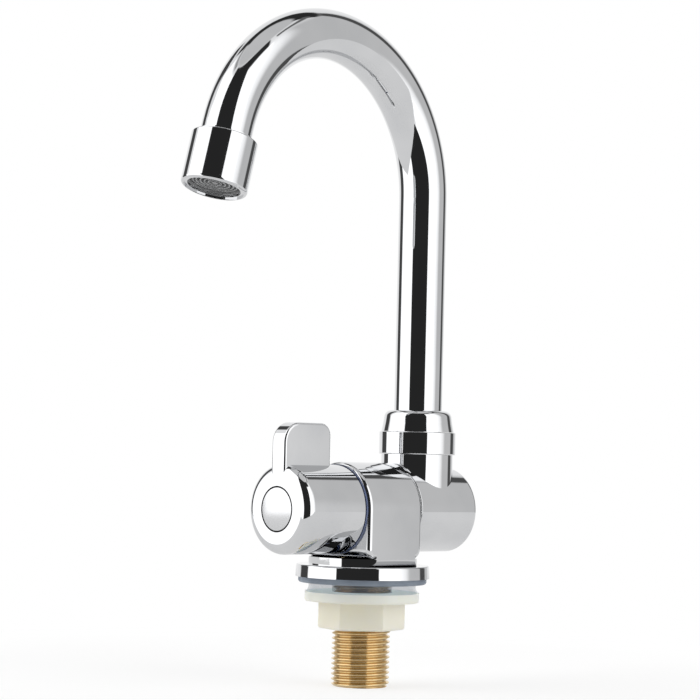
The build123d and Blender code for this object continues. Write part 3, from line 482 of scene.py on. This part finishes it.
@dataclass(frozen=True)
class FacePlate(ChromePlate):
    """Chrome on a moulded cap's face alone: behind the face the cap is coloured near-black and matt, painted
    shade of the gap round the cap.
    """

    plated_to_x: float = -0.0421
    plate_edge: float = 0.0001
    painted_gap_shade: Colour = (0.022, 0.022, 0.024)
    painted_gap_shade_haze: float = 0.45

    def wire(self, wire: Wiring, shader: bpy.types.Node, effects: SharedEffects) -> None:
        """Plates the whole piece, then behind plated_to_x paints it near-black, matt and not metal: painted
        shade of the gap round the cap.

        Args:
            wire: the wiring of the material.
            shader: its Principled BSDF.
            effects: the shared node groups.
        """
        super().wire(wire, shader, effects)
        across = wire.split(wire.object_place())[0]
        # Mask behind plated_to_x, where the near-black matt colour is painted shade of the gap round the cap.
        painted_gap_shade = wire.ramp(across, self.plated_to_x, self.plated_to_x + self.plate_edge)
        plated, haze = (shader.inputs[name].links[0].from_socket for name in ("Base Color", "Roughness"))
        wire.fill(shader, Base_Color=wire.blend(painted_gap_shade, plated, self.painted_gap_shade),
                  Roughness=wire.math("MULTIPLY_ADD", painted_gap_shade, self.painted_gap_shade_haze, haze),
                  Metallic=wire.math("SUBTRACT", METAL, painted_gap_shade))


@dataclass(frozen=True)
class MachinedBrass(Finish):
    """Bare brass as it leaves the lathe: fine rings, and painted shade that darkens it towards the thread's
    roots.
    """

    lathe: Lathe = Lathe.UPRIGHT
    bright: Colour = (0.86, 0.68, 0.40)
    dark: Colour = (0.50, 0.34, 0.16)
    root_radius: float = 0.0093
    crest_radius: float = 0.0105
    root_shade_share: float = 0.4
    patch_share: float = 0.22
    roughness: Span = (0.13, 0.21)
    line_scale: float = 5200.0
    line_depth: float = 0.000006
    grain_scale: float = 900.0
    mottle_scale: float = 160.0

    def wire(self, wire: Wiring, shader: bpy.types.Node, effects: SharedEffects) -> None:
        """Colour darkens from the crest's radius to the root's, a painted shade in the roots; rings and
        mottling vary the gloss.

        Args:
            wire: the wiring of the material.
            shader: its Principled BSDF.
            effects: the shared node groups.
        """
        place = LATHE_FRAMES[self.lathe].coordinates(wire)
        lines = wire.group(effects.turning_lines(), Vector=place, Lines=self.line_scale)
        grain = wire.group(effects.grain(), Vector=place, Fine=self.grain_scale, Broad=self.mottle_scale)
        height = lines.outputs["Line Height"]
        # Painted shade: the colour darkens from the crest's radius towards the root's.
        deep = wire.ramp(lines.outputs["Radius"], self.crest_radius, self.root_radius)
        patch = wire.math("MULTIPLY", grain.outputs["Mottle"], self.patch_share)
        tone = wire.math("MULTIPLY_ADD", deep, self.root_shade_share, patch)
        wire.fill(shader, Base_Color=wire.blend(tone, self.bright, self.dark),
                  Roughness=wire.ramp(height, *NOISE_SPAN, *self.roughness),
                  Normal=wire.bump(height, self.line_depth), Metallic=METAL)


@dataclass(frozen=True)
class TurnedSteel(Finish):
    """Plain steel of screws, clips and the screen, with faint rings."""

    lathe: Lathe = Lathe.ALONG_BODY
    bright: Colour = (0.62, 0.62, 0.63)
    dark: Colour = (0.47, 0.47, 0.49)
    roughness: Span = (0.2, 0.34)
    line_scale: float = 4000.0
    line_depth: float = 0.000004
    line_strength: float = 0.7

    def wire(self, wire: Wiring, shader: bpy.types.Node, effects: SharedEffects) -> None:
        """Rings vary the tone and the gloss.

        Args:
            wire: the wiring of the material.
            shader: its Principled BSDF.
            effects: the shared node groups.
        """
        place = LATHE_FRAMES[self.lathe].coordinates(wire)
        lines = wire.group(effects.turning_lines(), Vector=place, Lines=self.line_scale)
        height = lines.outputs["Line Height"]
        wire.fill(shader, Base_Color=wire.blend(wire.ramp(height, *NOISE_SPAN), self.bright, self.dark),
                  Roughness=wire.ramp(height, *NOISE_SPAN, *self.roughness),
                  Normal=wire.bump(height, self.line_depth, self.line_strength), Metallic=METAL)


@dataclass(frozen=True)
class Moulded(Finish):
    """A moulded plastic, rubber or fired piece: two close tones, a gloss range and a fine grain."""

    light: Colour = (0.8, 0.8, 0.8)
    shade: Colour = (0.7, 0.7, 0.7)
    roughness: Span = (0.35, 0.5)
    grain_scale: float = 1500.0
    mottle_scale: float = 140.0
    grain_depth: float = 0.00001
    glow_depth: float = 0.0
    glow_share: float = 0.0
    glow_tint: Colour = (1.0, 0.92, 0.62)
    coat: float = 0.0

    def wire(self, wire: Wiring, shader: bpy.types.Node, effects: SharedEffects) -> None:
        """Mottling mixes the tones and moves the gloss; the grain gives the normal.

        Args:
            wire: the wiring of the material.
            shader: its Principled BSDF.
            effects: the shared node groups.
        """
        place = wire.object_place()
        grain = wire.group(effects.grain(), Vector=place, Fine=self.grain_scale, Broad=self.mottle_scale)
        mottle = grain.outputs["Mottle"]
        wire.fill(shader, Base_Color=self.tone(wire, place, mottle),
                  Roughness=wire.ramp(mottle, 0.0, 1.0, *self.roughness),
                  Normal=wire.bump(grain.outputs["Fine Height"], self.grain_depth),
                  Subsurface_Weight=self.glow_share, Subsurface_Scale=self.glow_depth,
                  Subsurface_Radius=self.glow_tint, Coat_Weight=self.coat)

    def tone(self, wire: Wiring, place: Socket, mottle: Socket) -> Socket:
        """The colour at a place, mixed from the two tones by the mottling."""
        return wire.blend(mottle, self.light, self.shade)


@dataclass(frozen=True)
class ThickMoulded(Moulded):
    """A moulding that looks warmer where it is thick: its lower part has tones of its own."""

    low_light: Colour = (0.8, 0.8, 0.8)
    low_shade: Colour = (0.7, 0.7, 0.7)
    low_z: float = -0.0075
    high_z: float = -0.0055

    def tone(self, wire: Wiring, place: Socket, mottle: Socket) -> Socket:
        """The lower tones up to low_z, which pass into the upper ones at high_z.

        Args:
            wire: the wiring of the material.
            place: the place on the piece.
            mottle: broad mottling, 0 to 1.

        Returns:
            The colour's socket.
        """
        rise = wire.ramp(wire.split(place)[2], self.low_z, self.high_z)
        low = wire.blend(mottle, self.low_light, self.low_shade)
        return wire.blend(rise, low, super().tone(wire, place, mottle))


@dataclass(frozen=True)
class ClearMoulding(Finish):
    """Clear soft plastic: what lies behind shows through a faint cool haze with a slightly uneven gloss.

    The face that lies on the pale nut is opaque and glows: a painted glow that stands in for light from the
    translucent nut.
    """

    light: Colour = (0.20, 0.27, 0.37)
    shade: Colour = (0.13, 0.18, 0.27)
    seat_painted_glow: Colour = (0.36, 0.39, 0.39)
    haze_share: float = 0.31
    seat_depth: float = 0.0001
    roughness: Span = (0.03, 0.14)
    wave_scale: float = 320.0
    mottle_scale: float = 190.0
    wave_depth: float = 0.00003

    def wire(self, wire: Wiring, shader: bpy.types.Node, effects: SharedEffects) -> None:
        """Mottling moves the tint and the gloss; the grain gives a moulded waviness.

        The lowest seat_depth of the washer is the face on the nut: opaque, with a painted glow as its
        emission.

        Args:
            wire: the wiring of the material.
            shader: its Principled BSDF.
            effects: the shared node groups.
        """
        place = wire.object_place()
        grain = wire.group(effects.grain(), Vector=place, Fine=self.wave_scale, Broad=self.mottle_scale)
        mottle = grain.outputs["Mottle"]
        low_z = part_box("clear_clamp_washer")[0][2]
        seat = wire.ramp(wire.split(place)[2], low_z + self.seat_depth, low_z)
        # The face on the nut is opaque and emits seat_painted_glow: a painted glow, not a lamp.
        wire.fill(shader, Base_Color=wire.blend(mottle, self.light, self.shade),
                  Roughness=wire.ramp(mottle, 0.0, 1.0, *self.roughness),
                  Normal=wire.bump(grain.outputs["Fine Height"], self.wave_depth),
                  Alpha=wire.ramp(seat, 0.0, 1.0, self.haze_share, 1.0, smooth=False),
                  Emission_Color=wire.blend(seat, BLACK, self.seat_painted_glow), Emission_Strength=1.0)


CHROME_CASTING = ChromePlate("chrome_casting", Polish.CASTING, Lathe.ALONG_BODY)
CHROME_BARREL = ChromePlate("chrome_barrel", Polish.TURNED, Lathe.ALONG_BODY)
CHROME_CAP = FacePlate("chrome_cap_face", Polish.TURNED, Lathe.ALONG_BODY, smoothest=0.14, haziest=0.2)
CHROME_TUBE = ChromePlate("chrome_tube", Polish.DRAWN_TUBE, Lathe.UP_SPOUT)
CHROME_SPOUT_RINGS = ChromePlate("chrome_spout_rings", Polish.TURNED, Lathe.UP_SPOUT)
CHROME_RISER = ChromePlate("chrome_riser", Polish.TURNED, Lathe.UPRIGHT)
CHROME_OUTLET = ChromePlate("chrome_outlet", Polish.TURNED, Lathe.OUTLET)
BRASS_TAIL = MachinedBrass("brass_tail", Lathe.UPRIGHT)
BRASS_VALVE = MachinedBrass("brass_valve", Lathe.ALONG_BODY, **EVEN_BRASS)
BRASS_FERRULE = MachinedBrass("brass_ferrule", Lathe.UP_SPOUT, **EVEN_BRASS)
STEEL_FIXINGS = TurnedSteel("steel_fixings", Lathe.ALONG_BODY)
STEEL_SCREEN = TurnedSteel("steel_screen", Lathe.OUTLET)
BLACK_RUBBER = Moulded(
    "black_rubber_seal", light=(0.035, 0.035, 0.036), shade=(0.022, 0.022, 0.024), roughness=(0.42, 0.6),
)
GREY_RUBBER = Moulded(
    "grey_rubber_gasket", light=(0.25, 0.295, 0.36), shade=(0.19, 0.225, 0.28), roughness=(0.4, 0.58),
    grain_scale=1100.0, mottle_scale=120.0, grain_depth=0.00002,
)
CLEAR_WASHER = ClearMoulding("clear_washer_plastic")
IVORY_NUT = ThickMoulded(
    "ivory_nut_plastic", light=(0.955, 0.965, 0.87), shade=(0.92, 0.93, 0.83), roughness=(0.3, 0.42),
    low_light=(0.98, 0.935, 0.80), low_shade=(0.96, 0.90, 0.75), grain_scale=900.0, mottle_scale=60.0,
    grain_depth=0.000012, glow_depth=0.004, glow_share=0.4,
)
BLUE_RING = Moulded(
    "blue_index_plastic", light=(0.085, 0.125, 0.26), shade=(0.06, 0.09, 0.20), roughness=(0.06, 0.14),
    mottle_scale=200.0, grain_depth=0.000004, coat=1.0,
)
CERAMIC = Moulded(
    "lapped_ceramic", light=(0.9, 0.89, 0.86), shade=(0.84, 0.83, 0.79), roughness=(0.1, 0.2),
    grain_scale=3000.0, mottle_scale=400.0, grain_depth=0.000002,
)
WHITE_PLASTIC = Moulded("white_slip_plastic", light=(0.88, 0.88, 0.86), shade=(0.82, 0.82, 0.8))
GREY_PLASTIC = Moulded(
    "grey_insert_plastic", light=(0.41, 0.415, 0.42), shade=(0.33, 0.335, 0.34), roughness=(0.45, 0.6),
    grain_scale=2200.0, mottle_scale=500.0, grain_depth=0.000008,
)


def closed_grid(name: str, points: np.ndarray, meets: np.ndarray) -> bpy.types.Object:
    """A ring-shaped solid from a grid that closes on itself both ways.

    Point (i, j) is row i and column j. Each face joins (i, j), (i, j+1), (i+1, j+1) and (i+1, j), the
    last row joins the first, and row i of the last column joins row meets[i] of the first, so that a
    helix runs on past the closing column. Faces are turned outwards where the signed volume, the sum
    over all faces of their corners' triple products, comes out below zero. Rows that lie on each other
    are merged.

    Args:
        name: the object's and mesh's name.
        points: array of rows, columns and the three coordinates, in metres.
        meets: for each row of the last column, the row that it joins in the first.

    Returns:
        The object, at the origin.
    """
    rows, columns = points.shape[:2]
    index = np.arange(rows * columns, dtype=np.int32).reshape(rows, columns)
    down, across = np.roll(index, -1, axis=0), np.roll(index, -1, axis=1)
    across[:, -1] = index[meets, 0]
    corner = np.roll(across, -1, axis=0)
    faces = np.stack((index, across, corner, down), axis=-1).reshape(-1, 4)
    flat = points.reshape(-1, 3)
    first, second, third, fourth = (flat[faces[:, k]] for k in range(4))
    volume = np.einsum("ij,ij->", first, np.cross(second, third) + np.cross(third, fourth))
    if volume < 0:
        faces = faces[:, ::-1]
    mesh = bpy.data.meshes.new(name)
    mesh.vertices.add(len(flat))
    mesh.vertices.foreach_set("co", flat.astype(np.float32).ravel())
    mesh.loops.add(faces.size)
    mesh.loops.foreach_set("vertex_index", faces.astype(np.int32).ravel())
    mesh.polygons.add(len(faces))
    mesh.polygons.foreach_set("loop_start", np.arange(0, faces.size, 4, dtype=np.int32))
    mesh.update(calc_edges=True)
    mesh.validate()
    shell = bmesh.new()
    shell.from_mesh(mesh)
    bmesh.ops.remove_doubles(shell, verts=shell.verts, dist=MERGE_DISTANCE)
    bmesh.ops.dissolve_degenerate(shell, edges=shell.edges, dist=MERGE_DISTANCE)
    shell.to_mesh(mesh)
    shell.free()
    mesh.shade_smooth()
    mesh.set_sharp_from_angle(angle=SHARP_ANGLE)
    made = bpy.data.objects.new(name, mesh)
    bpy.context.scene.collection.objects.link(made)
    return made


@dataclass
class TailThread:
    """The brass tail with its real, helical thread. Sizes in metres, angles in degrees."""

    crest_radius: float = 0.0104775
    plain_radius: float = 0.0104575
    bore_radius: float = 0.0072
    pitch: float = 0.001814
    depth: float = 0.001162
    half_angle: float = 27.5
    crest_share: float = 1.0 / 6.0
    rounded_share: float = 0.4
    end_z: float = -0.0369
    thread_top_z: float = 0.0016
    neck_step: float = 0.0002
    top_z: float = 0.014
    end_chamfer: float = 0.0009
    bore_chamfer: float = 0.0004
    groove_z: float = 0.0112
    groove_width: float = 0.0018
    groove_depth: float = 0.00124
    columns: int = 112
    rows_per_turn: int = 18

    def groove_share(self, phase: np.ndarray) -> np.ndarray:
        """How deep the groove is at a share of the pitch.

        It is 0 on the crest's flat, rises along the flank, is 1 on the root's flat and falls again: the
        distance from the groove's middle, less half the root's flat, over the flank's width, taken from
        1 and held in 0...1. A share of it is rounded, three times its square less twice its cube.

        Args:
            phase: distance along the axis in pitches, measured from a crest's middle.

        Returns:
            The depth as a share of the full depth.
        """
        flank = self.depth * math.tan(math.radians(self.half_angle)) / self.pitch
        half_root = (1.0 - self.crest_share) / 2.0 - flank
        away = np.abs(np.mod(phase, 1.0) - 0.5)
        straight = np.clip(1.0 - (away - half_root) / flank, 0.0, 1.0)
        rounded = straight * straight * (3.0 - 2.0 * straight)
        return (1.0 - self.rounded_share) * straight + self.rounded_share * rounded

    def thread_rows(self, turn: np.ndarray) -> Tuple[np.ndarray, np.ndarray]:
        """Height and radius of the threaded length.

        A point's height is the end's height, plus the pitch times its row's place in turns, plus the
        pitch times its angle's share of a turn, held between the two ends. Its radius is the crest's
        less the groove, no more than the end's 45 degree chamfer leaves, and it runs out to the plain
        radius over the last pitch.

        Args:
            turn: each column's angle as a share of a full turn.

        Returns:
            Heights and radii, a row for each step along the thread.
        """
        length = self.thread_top_z - self.end_z
        steps = int(math.ceil((length / self.pitch + 1.0) * self.rows_per_turn))
        place = np.arange(steps + 1)[:, None] / self.rows_per_turn - 1.0
        height = self.end_z + self.pitch * (place + turn[None, :])
        height = np.clip(height, self.end_z, self.thread_top_z)
        phase = (height - self.end_z) / self.pitch - turn[None, :]
        radius = self.crest_radius - self.depth * self.groove_share(phase)
        radius = np.minimum(radius, self.crest_radius - self.end_chamfer + (height - self.end_z))
        run_out = np.clip((height - self.thread_top_z + self.pitch) / self.pitch, 0.0, 1.0)
        radius = radius + (self.plain_radius - radius) * run_out
        return height, radius

    def build(self) -> bpy.types.Object:
        """The tail as one closed surface: thread, plain neck with its ring groove, top, bore and end.

        Each row is a ring about Z: (radius cos a, radius sin a, height), where a is the column's angle. A
        row of the thread rises by a pitch over a turn, so at the closing column it meets the row that
        lies a turn further on.

        Returns:
            The tail's object.
        """
        turn = np.arange(self.columns) / self.columns
        heights, radii = self.thread_rows(turn)
        thread_rows = len(heights)
        bottom = self.plain_radius - self.groove_depth
        low, high = self.groove_z - self.groove_width / 2, self.groove_z + self.groove_width / 2
        rings = np.array([
            (self.plain_radius, self.thread_top_z + self.neck_step), (self.plain_radius, low),
            (bottom, low), (bottom, high), (self.plain_radius, high), (self.plain_radius, self.top_z),
            (self.bore_radius, self.top_z), (self.bore_radius, self.end_z + self.bore_chamfer),
            (self.bore_radius + self.bore_chamfer, self.end_z),
        ])
        radii = np.vstack((radii, np.repeat(rings[:, :1], self.columns, axis=1)))
        heights = np.vstack((heights, np.repeat(rings[:, 1:], self.columns, axis=1)))
        angle = 2.0 * math.pi * turn[None, :]
        points = np.stack((radii * np.cos(angle), radii * np.sin(angle), heights), axis=-1)
        meets = np.arange(len(points))
        meets[:thread_rows] = np.minimum(meets[:thread_rows] + self.rows_per_turn, thread_rows - 1)
        return closed_grid("threaded_tail", points, meets)


@dataclass
class SubAssembly:
    """Base of the tap's sub-assemblies: the shared node groups, and how CAD nodes are dressed."""

    effects: SharedEffects

    def dress(self, finish: Finish, *nodes: str) -> None:
        """Puts one finish on some CAD nodes, given by name."""
        for node in nodes:
            finish.dress(node, self.effects)


@dataclass
class TailAndClamp(SubAssembly):
    """What passes through the worktop and holds the tap to it."""

    thread: TailThread

    def build(self) -> None:
        """Makes the threaded tail and dresses the rings, washers and nut round it."""
        tail = self.thread.build()
        tail.data.materials.append(BRASS_TAIL.material(self.effects))
        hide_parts("tail_stud")
        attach(tail, "tap_body")
        LOG.info("threaded_tail: %d faces", len(tail.data.polygons))
        self.dress(BLACK_RUBBER, "tail_o_ring")
        self.dress(GREY_RUBBER, "riser_gasket")
        self.dress(CHROME_RISER, "riser_ring")
        self.dress(CLEAR_WASHER, "clear_clamp_washer")
        self.dress(IVORY_NUT, "backnut")


@dataclass
class Casting(SubAssembly):
    """The body casting and the blue ring at the handle's seam."""

    def build(self) -> None:
        """Dresses the casting and its ring."""
        self.dress(CHROME_CASTING, "body")
        self.dress(BLUE_RING, "cold_index_ring")


@dataclass
class Cartridge(SubAssembly):
    """The quarter-turn ceramic cartridge inside the body."""

    def build(self) -> None:
        """Dresses the cartridge's pieces."""
        self.dress(BRASS_VALVE, "cartridge_body", "cartridge_spindle")
        self.dress(BLACK_RUBBER, "cartridge_o_ring", "cartridge_seal", "spindle_o_rings")
        self.dress(CERAMIC, "fixed_ceramic_disc", "moving_ceramic_disc")
        self.dress(STEEL_FIXINGS, "spindle_circlip")


@dataclass
class Handle(SubAssembly):
    """The lever handle, its screw and its cap."""

    def build(self) -> None:
        """Dresses the handle's pieces."""
        self.dress(CHROME_CASTING, "handle")
        self.dress(CHROME_CAP, "handle_index_cap")
        self.dress(STEEL_FIXINGS, "handle_screw")


@dataclass
class FoldJoint(SubAssembly):
    """The barrel that folds about the body, and the hollow pivot that carries the water into it."""

    def build(self) -> None:
        """Dresses the joint's pieces."""
        self.dress(CHROME_CASTING, "pivot_housing")
        self.dress(CHROME_BARREL, "pivot_end_cap")
        self.dress(WHITE_PLASTIC, "pivot_thrust_washer")
        self.dress(BRASS_VALVE, "pivot_spigot")
        self.dress(BLACK_RUBBER, "pivot_o_rings")
        self.dress(STEEL_FIXINGS, "pivot_keeper_washer", "pivot_screw")


@dataclass
class Spout(SubAssembly):
    """The gooseneck with its nut, collar and swivel pieces."""

    def build(self) -> None:
        """Dresses the spout's pieces."""
        self.dress(CHROME_TUBE, "spout_tube")
        self.dress(CHROME_SPOUT_RINGS, "spout_nut", "spout_collar")
        self.dress(BRASS_FERRULE, "spout_ferrule")
        self.dress(BLACK_RUBBER, "spout_o_rings")
        self.dress(WHITE_PLASTIC, "spout_slip_ring")


@dataclass
class Outlet(SubAssembly):
    """The aerator and the adaptor that joins it to the tube."""

    def build(self) -> None:
        """Dresses the outlet's pieces."""
        self.dress(CHROME_OUTLET, "outlet_adaptor", "aerator_housing")
        self.dress(BLACK_RUBBER, "aerator_washer")
        self.dress(GREY_PLASTIC, "aerator_insert")
        self.dress(STEEL_SCREEN, "aerator_screen")


@dataclass(frozen=True)
class Card:
    """A patch of the room that the metal mirrors.

    Bearings are degrees to the right of the camera, as seen from the object, heights are degrees above
    it, and lean moves the bearing by so much for each degree of height. A level of 1 is white.
    """

    name: str
    bearings: Span
    heights: Span
    level: float
    edge: float
    lean: float = 0.0
    both_sides: bool = False


@dataclass(frozen=True)
class Lamp:
    """A soft square lamp: degrees to the right of the camera and above the object, metres and watts."""

    name: str
    bearing: float
    height: float
    side: float
    power: float


@dataclass
class Studio:
    """A white room with two soft boxes, dark cards, a pale table and the camera.

    Places and lengths are in metres. The table's figures are shares of white, and the distances from
    the origin between which it fades to plain white.
    """

    effects: SharedEffects
    camera_place: Point = (-0.5664, -0.5837, 0.0451)
    camera_aim: Point = (-0.00467, 0.00446, 0.08378)
    camera_roll: float = 1.414
    lens: float = 115.75
    sensor: float = 36.0
    table_z: float = -0.0369
    table_front: float = 0.26
    table_reach: float = 1.0
    table_shaded: float = 0.36
    table_glow: float = 0.68
    table_matt: float = 0.85
    table_dimming: float = 0.17
    table_fade: Span = (0.14, 0.26)
    lamp_distance: float = 1.3
    lamps: Tuple[Lamp, ...] = (
        Lamp("soft_left", bearing=-75.0, height=30.0, side=0.9, power=2.15),
        Lamp("soft_right", bearing=60.0, height=25.0, side=0.9, power=1.7),
        Lamp("soft_top", bearing=150.0, height=70.0, side=0.8, power=1.0),
    )
    cards: Tuple[Card, ...] = (
        Card("ceiling", (-220, 220), (67, 100), level=0.68, edge=4.0),
        Card("grey_wall_right", (84, 150), (-40, 57), level=0.65, edge=13.0),
        Card("fading_light_right", (40, 79), (-30, 53), level=1.45, edge=26.0),
        Card("dark_beams_behind", (120, 200), (54, 69), level=0.03, edge=4.0, both_sides=True),
        Card("dark_top_of_wall", (72, 130), (59, 64), level=0.15, edge=3.0),
        Card("grey_edge_left", (-125, -62), (62, 66), level=0.4, edge=3.0),
        Card("dark_strip_left", (-134, -108), (-28, 46), level=0.07, edge=5.0, lean=0.42),
        Card("dark_strip_right", (117, 136), (-30, 55), level=0.09, edge=5.0, lean=-0.2),
        Card("soft_box_left", (-108, -46), (-30, 60), level=1.6, edge=4.0),
        Card("soft_box_right", (26, 68), (-30, 53), level=1.6, edge=4.0),
        Card("dark_lid_right", (26, 62), (53, 66), level=0.03, edge=4.0),
        Card("dark_card_at_camera", (-46, 28), (-75, 66), level=0.025, edge=1.5),
    )

    def look(self) -> Vector:
        """The way the camera looks, as a unit vector."""
        return (Vector(self.camera_aim) - Vector(self.camera_place)).normalized()

    def turn_to_camera(self) -> float:
        """The angle about Z of the way from the object to the camera, in radians."""
        back = -self.look()
        return math.atan2(back.y, back.x)

    def room(self) -> None:
        """Makes the world. The camera and clear pieces see plain white.

        Metal and everything else see the same white room with its soft boxes and dark cards, laid over
        it one by one by bearing and height.
        """
        world = bpy.data.worlds.new("white_room")
        world.use_nodes = True
        bpy.context.scene.world = world
        wire = Wiring(world.node_tree)
        turn = wire.node("ShaderNodeVectorRotate", rotation_type="Z_AXIS")
        way = wire.node("ShaderNodeTexCoord").outputs["Generated"]
        wire.fill(turn, Vector=way, Angle=-self.turn_to_camera())
        ahead, right, up = wire.split(turn.outputs[0])
        degrees = math.degrees(1.0)
        bearing = wire.math("MULTIPLY", wire.math("ARCTAN2", right, ahead), degrees)
        height = wire.math("MULTIPLY", wire.math("ARCSINE", up), degrees)
        either_side = wire.math("ABSOLUTE", bearing)
        level: Feed = 1.0
        for card in self.cards:
            mask = wire.group(
                self.effects.studio_card(), Bearing=either_side if card.both_sides else bearing,
                Height=height, Left=card.bearings[0], Right=card.bearings[1], Bottom=card.heights[0],
                Top=card.heights[1], Edge=card.edge, Lean=card.lean,
            )
            mask.label = card.name
            level = wire.blend(mask.outputs["Mask"], level, card.level, "FLOAT")
        seen = wire.blend(wire.rays(Rays.CAMERA, Rays.TRANSMISSION), level, 1.0, "FLOAT")
        background = world.node_tree.nodes["Background"]
        wire.fill(background, Color=(1.0, 1.0, 1.0, 1.0), Strength=seen)

    def table_finish(self) -> bpy.types.Material:
        """Pale table: matt to the light, and near white to the camera, to metal and through clear pieces.

        There it keeps part of its shading, so that the shadow stays. It fades to plain white towards its
        edge, and metal mirrors it a little dimmer than the camera sees it.

        Returns:
            The table's material.
        """
        made = bpy.data.materials.new("pale_table")
        made.use_nodes = True
        made.node_tree.nodes.clear()
        wire = Wiring(made.node_tree)
        shaded, matt = (
            wire.surface("ShaderNodeBsdfDiffuse", Color=(tone, tone, tone, 1.0))
            for tone in (self.table_shaded, self.table_matt)
        )
        glow, rim, unlit = (
            wire.surface("ShaderNodeEmission", Strength=strength) for strength in (self.table_glow, 1.0, 0.0)
        )
        length = wire.node("ShaderNodeVectorMath", operation="LENGTH")
        wire.feed(wire.object_place(), length.inputs[0])
        fade = wire.ramp(length.outputs["Value"], *self.table_fade)
        near = wire.join("ShaderNodeAddShader", shaded, glow)
        seen = wire.join("ShaderNodeMixShader", fade, near, rim)
        dimmed = wire.math("MULTIPLY", wire.rays(Rays.GLOSSY), self.table_dimming)
        mirrored = wire.join("ShaderNodeMixShader", dimmed, seen, unlit)
        looked = wire.rays(Rays.CAMERA, Rays.GLOSSY, Rays.TRANSMISSION)
        whole = wire.join("ShaderNodeMixShader", looked, matt, mirrored)
        wire.fill(wire.node("ShaderNodeOutputMaterial"), Surface=whole)
        return made

    def table(self) -> bpy.types.Object:
        """The table top under the tail: a rectangle whose front edge lies across the camera's view.

        A corner is along times the level direction towards the camera, plus across times the direction
        to its right, at the table's height.

        Returns:
            The table's object.
        """
        towards = Vector((-self.look().x, -self.look().y, 0.0)).normalized()
        right = Vector((-towards.y, towards.x, 0.0))
        front, back, reach = self.table_front, -self.table_reach, self.table_reach
        along, across = (front, front, back, back), (-reach, reach, reach, -reach)
        corners = np.outer(along, towards) + np.outer(across, right) + np.array((0.0, 0.0, self.table_z))
        mesh = bpy.data.meshes.new("table_top")
        mesh.from_pydata(corners.tolist(), [], [(0, 1, 2, 3)])
        mesh.update()
        if mesh.polygons[0].normal.z < 0:
            mesh.flip_normals()
        made = bpy.data.objects.new("table_top", mesh)
        mesh.materials.append(self.table_finish())
        bpy.context.scene.collection.objects.link(made)
        return made

    def light(self, lamp: Lamp) -> bpy.types.Object:
        """Sets up a lamp that lights the object but isn't itself seen.

        Args:
            lamp: where it stands, its size and its power.

        Returns:
            The lamp's object.
        """
        light = bpy.data.lights.new(lamp.name, "AREA")
        light.shape, light.size, light.energy = "SQUARE", lamp.side, lamp.power
        made = bpy.data.objects.new(lamp.name, light)
        turn = self.turn_to_camera() + math.radians(lamp.bearing)
        rise = math.radians(lamp.height)
        way = Vector((math.cos(turn) * math.cos(rise), math.sin(turn) * math.cos(rise), math.sin(rise)))
        made.location = Vector(self.camera_aim) + way * self.lamp_distance
        made.rotation_euler = way.to_track_quat("Z", "Y").to_euler()
        made.visible_camera = made.visible_glossy = made.visible_transmission = False
        bpy.context.scene.collection.objects.link(made)
        return made

    def camera(self) -> bpy.types.Object:
        """The camera, at the photograph's place and angle, turned a little about its own view.

        Returns:
            The camera's object.
        """
        data = bpy.data.cameras.new("view_camera")
        data.lens, data.sensor_width = self.lens, self.sensor
        made = bpy.data.objects.new("view_camera", data)
        look = self.look()
        level = look.cross(Vector(UP)).normalized()
        rise = level.cross(look)
        roll = math.radians(self.camera_roll)
        right = math.cos(roll) * level + math.sin(roll) * rise
        up = math.cos(roll) * rise - math.sin(roll) * level
        place = Matrix((right, up, -look)).transposed().to_4x4()
        place.translation = Vector(self.camera_place)
        made.matrix_world = place
        bpy.context.scene.collection.objects.link(made)
        bpy.context.scene.camera = made
        return made

    def build(self) -> None:
        """Makes the room, the table, the lamps and the camera."""
        bpy.context.scene.view_settings.view_transform = "Standard"
        self.room()
        self.table()
        for lamp in self.lamps:
            self.light(lamp)
        self.camera()
        LOG.info("studio: %d cards, %d lamps", len(self.cards), len(self.lamps))


def write_sizes() -> None:
    """Brings the view layer up to date.
    """
    bpy.context.view_layer.update()


def main() -> None:
    """Builds the studio and the tap's sub-assemblies in order."""
    logging.basicConfig(level=logging.INFO, format="%(name)s %(message)s")
    effects = SharedEffects()
    for part in (
        Studio(effects), TailAndClamp(effects, TailThread()), Casting(effects), Cartridge(effects),
        Handle(effects), FoldJoint(effects), Spout(effects), Outlet(effects),
    ):
        part.build()
        LOG.info("built %s", type(part).__name__)
    write_sizes()


if __name__ == "__main__":
    main()
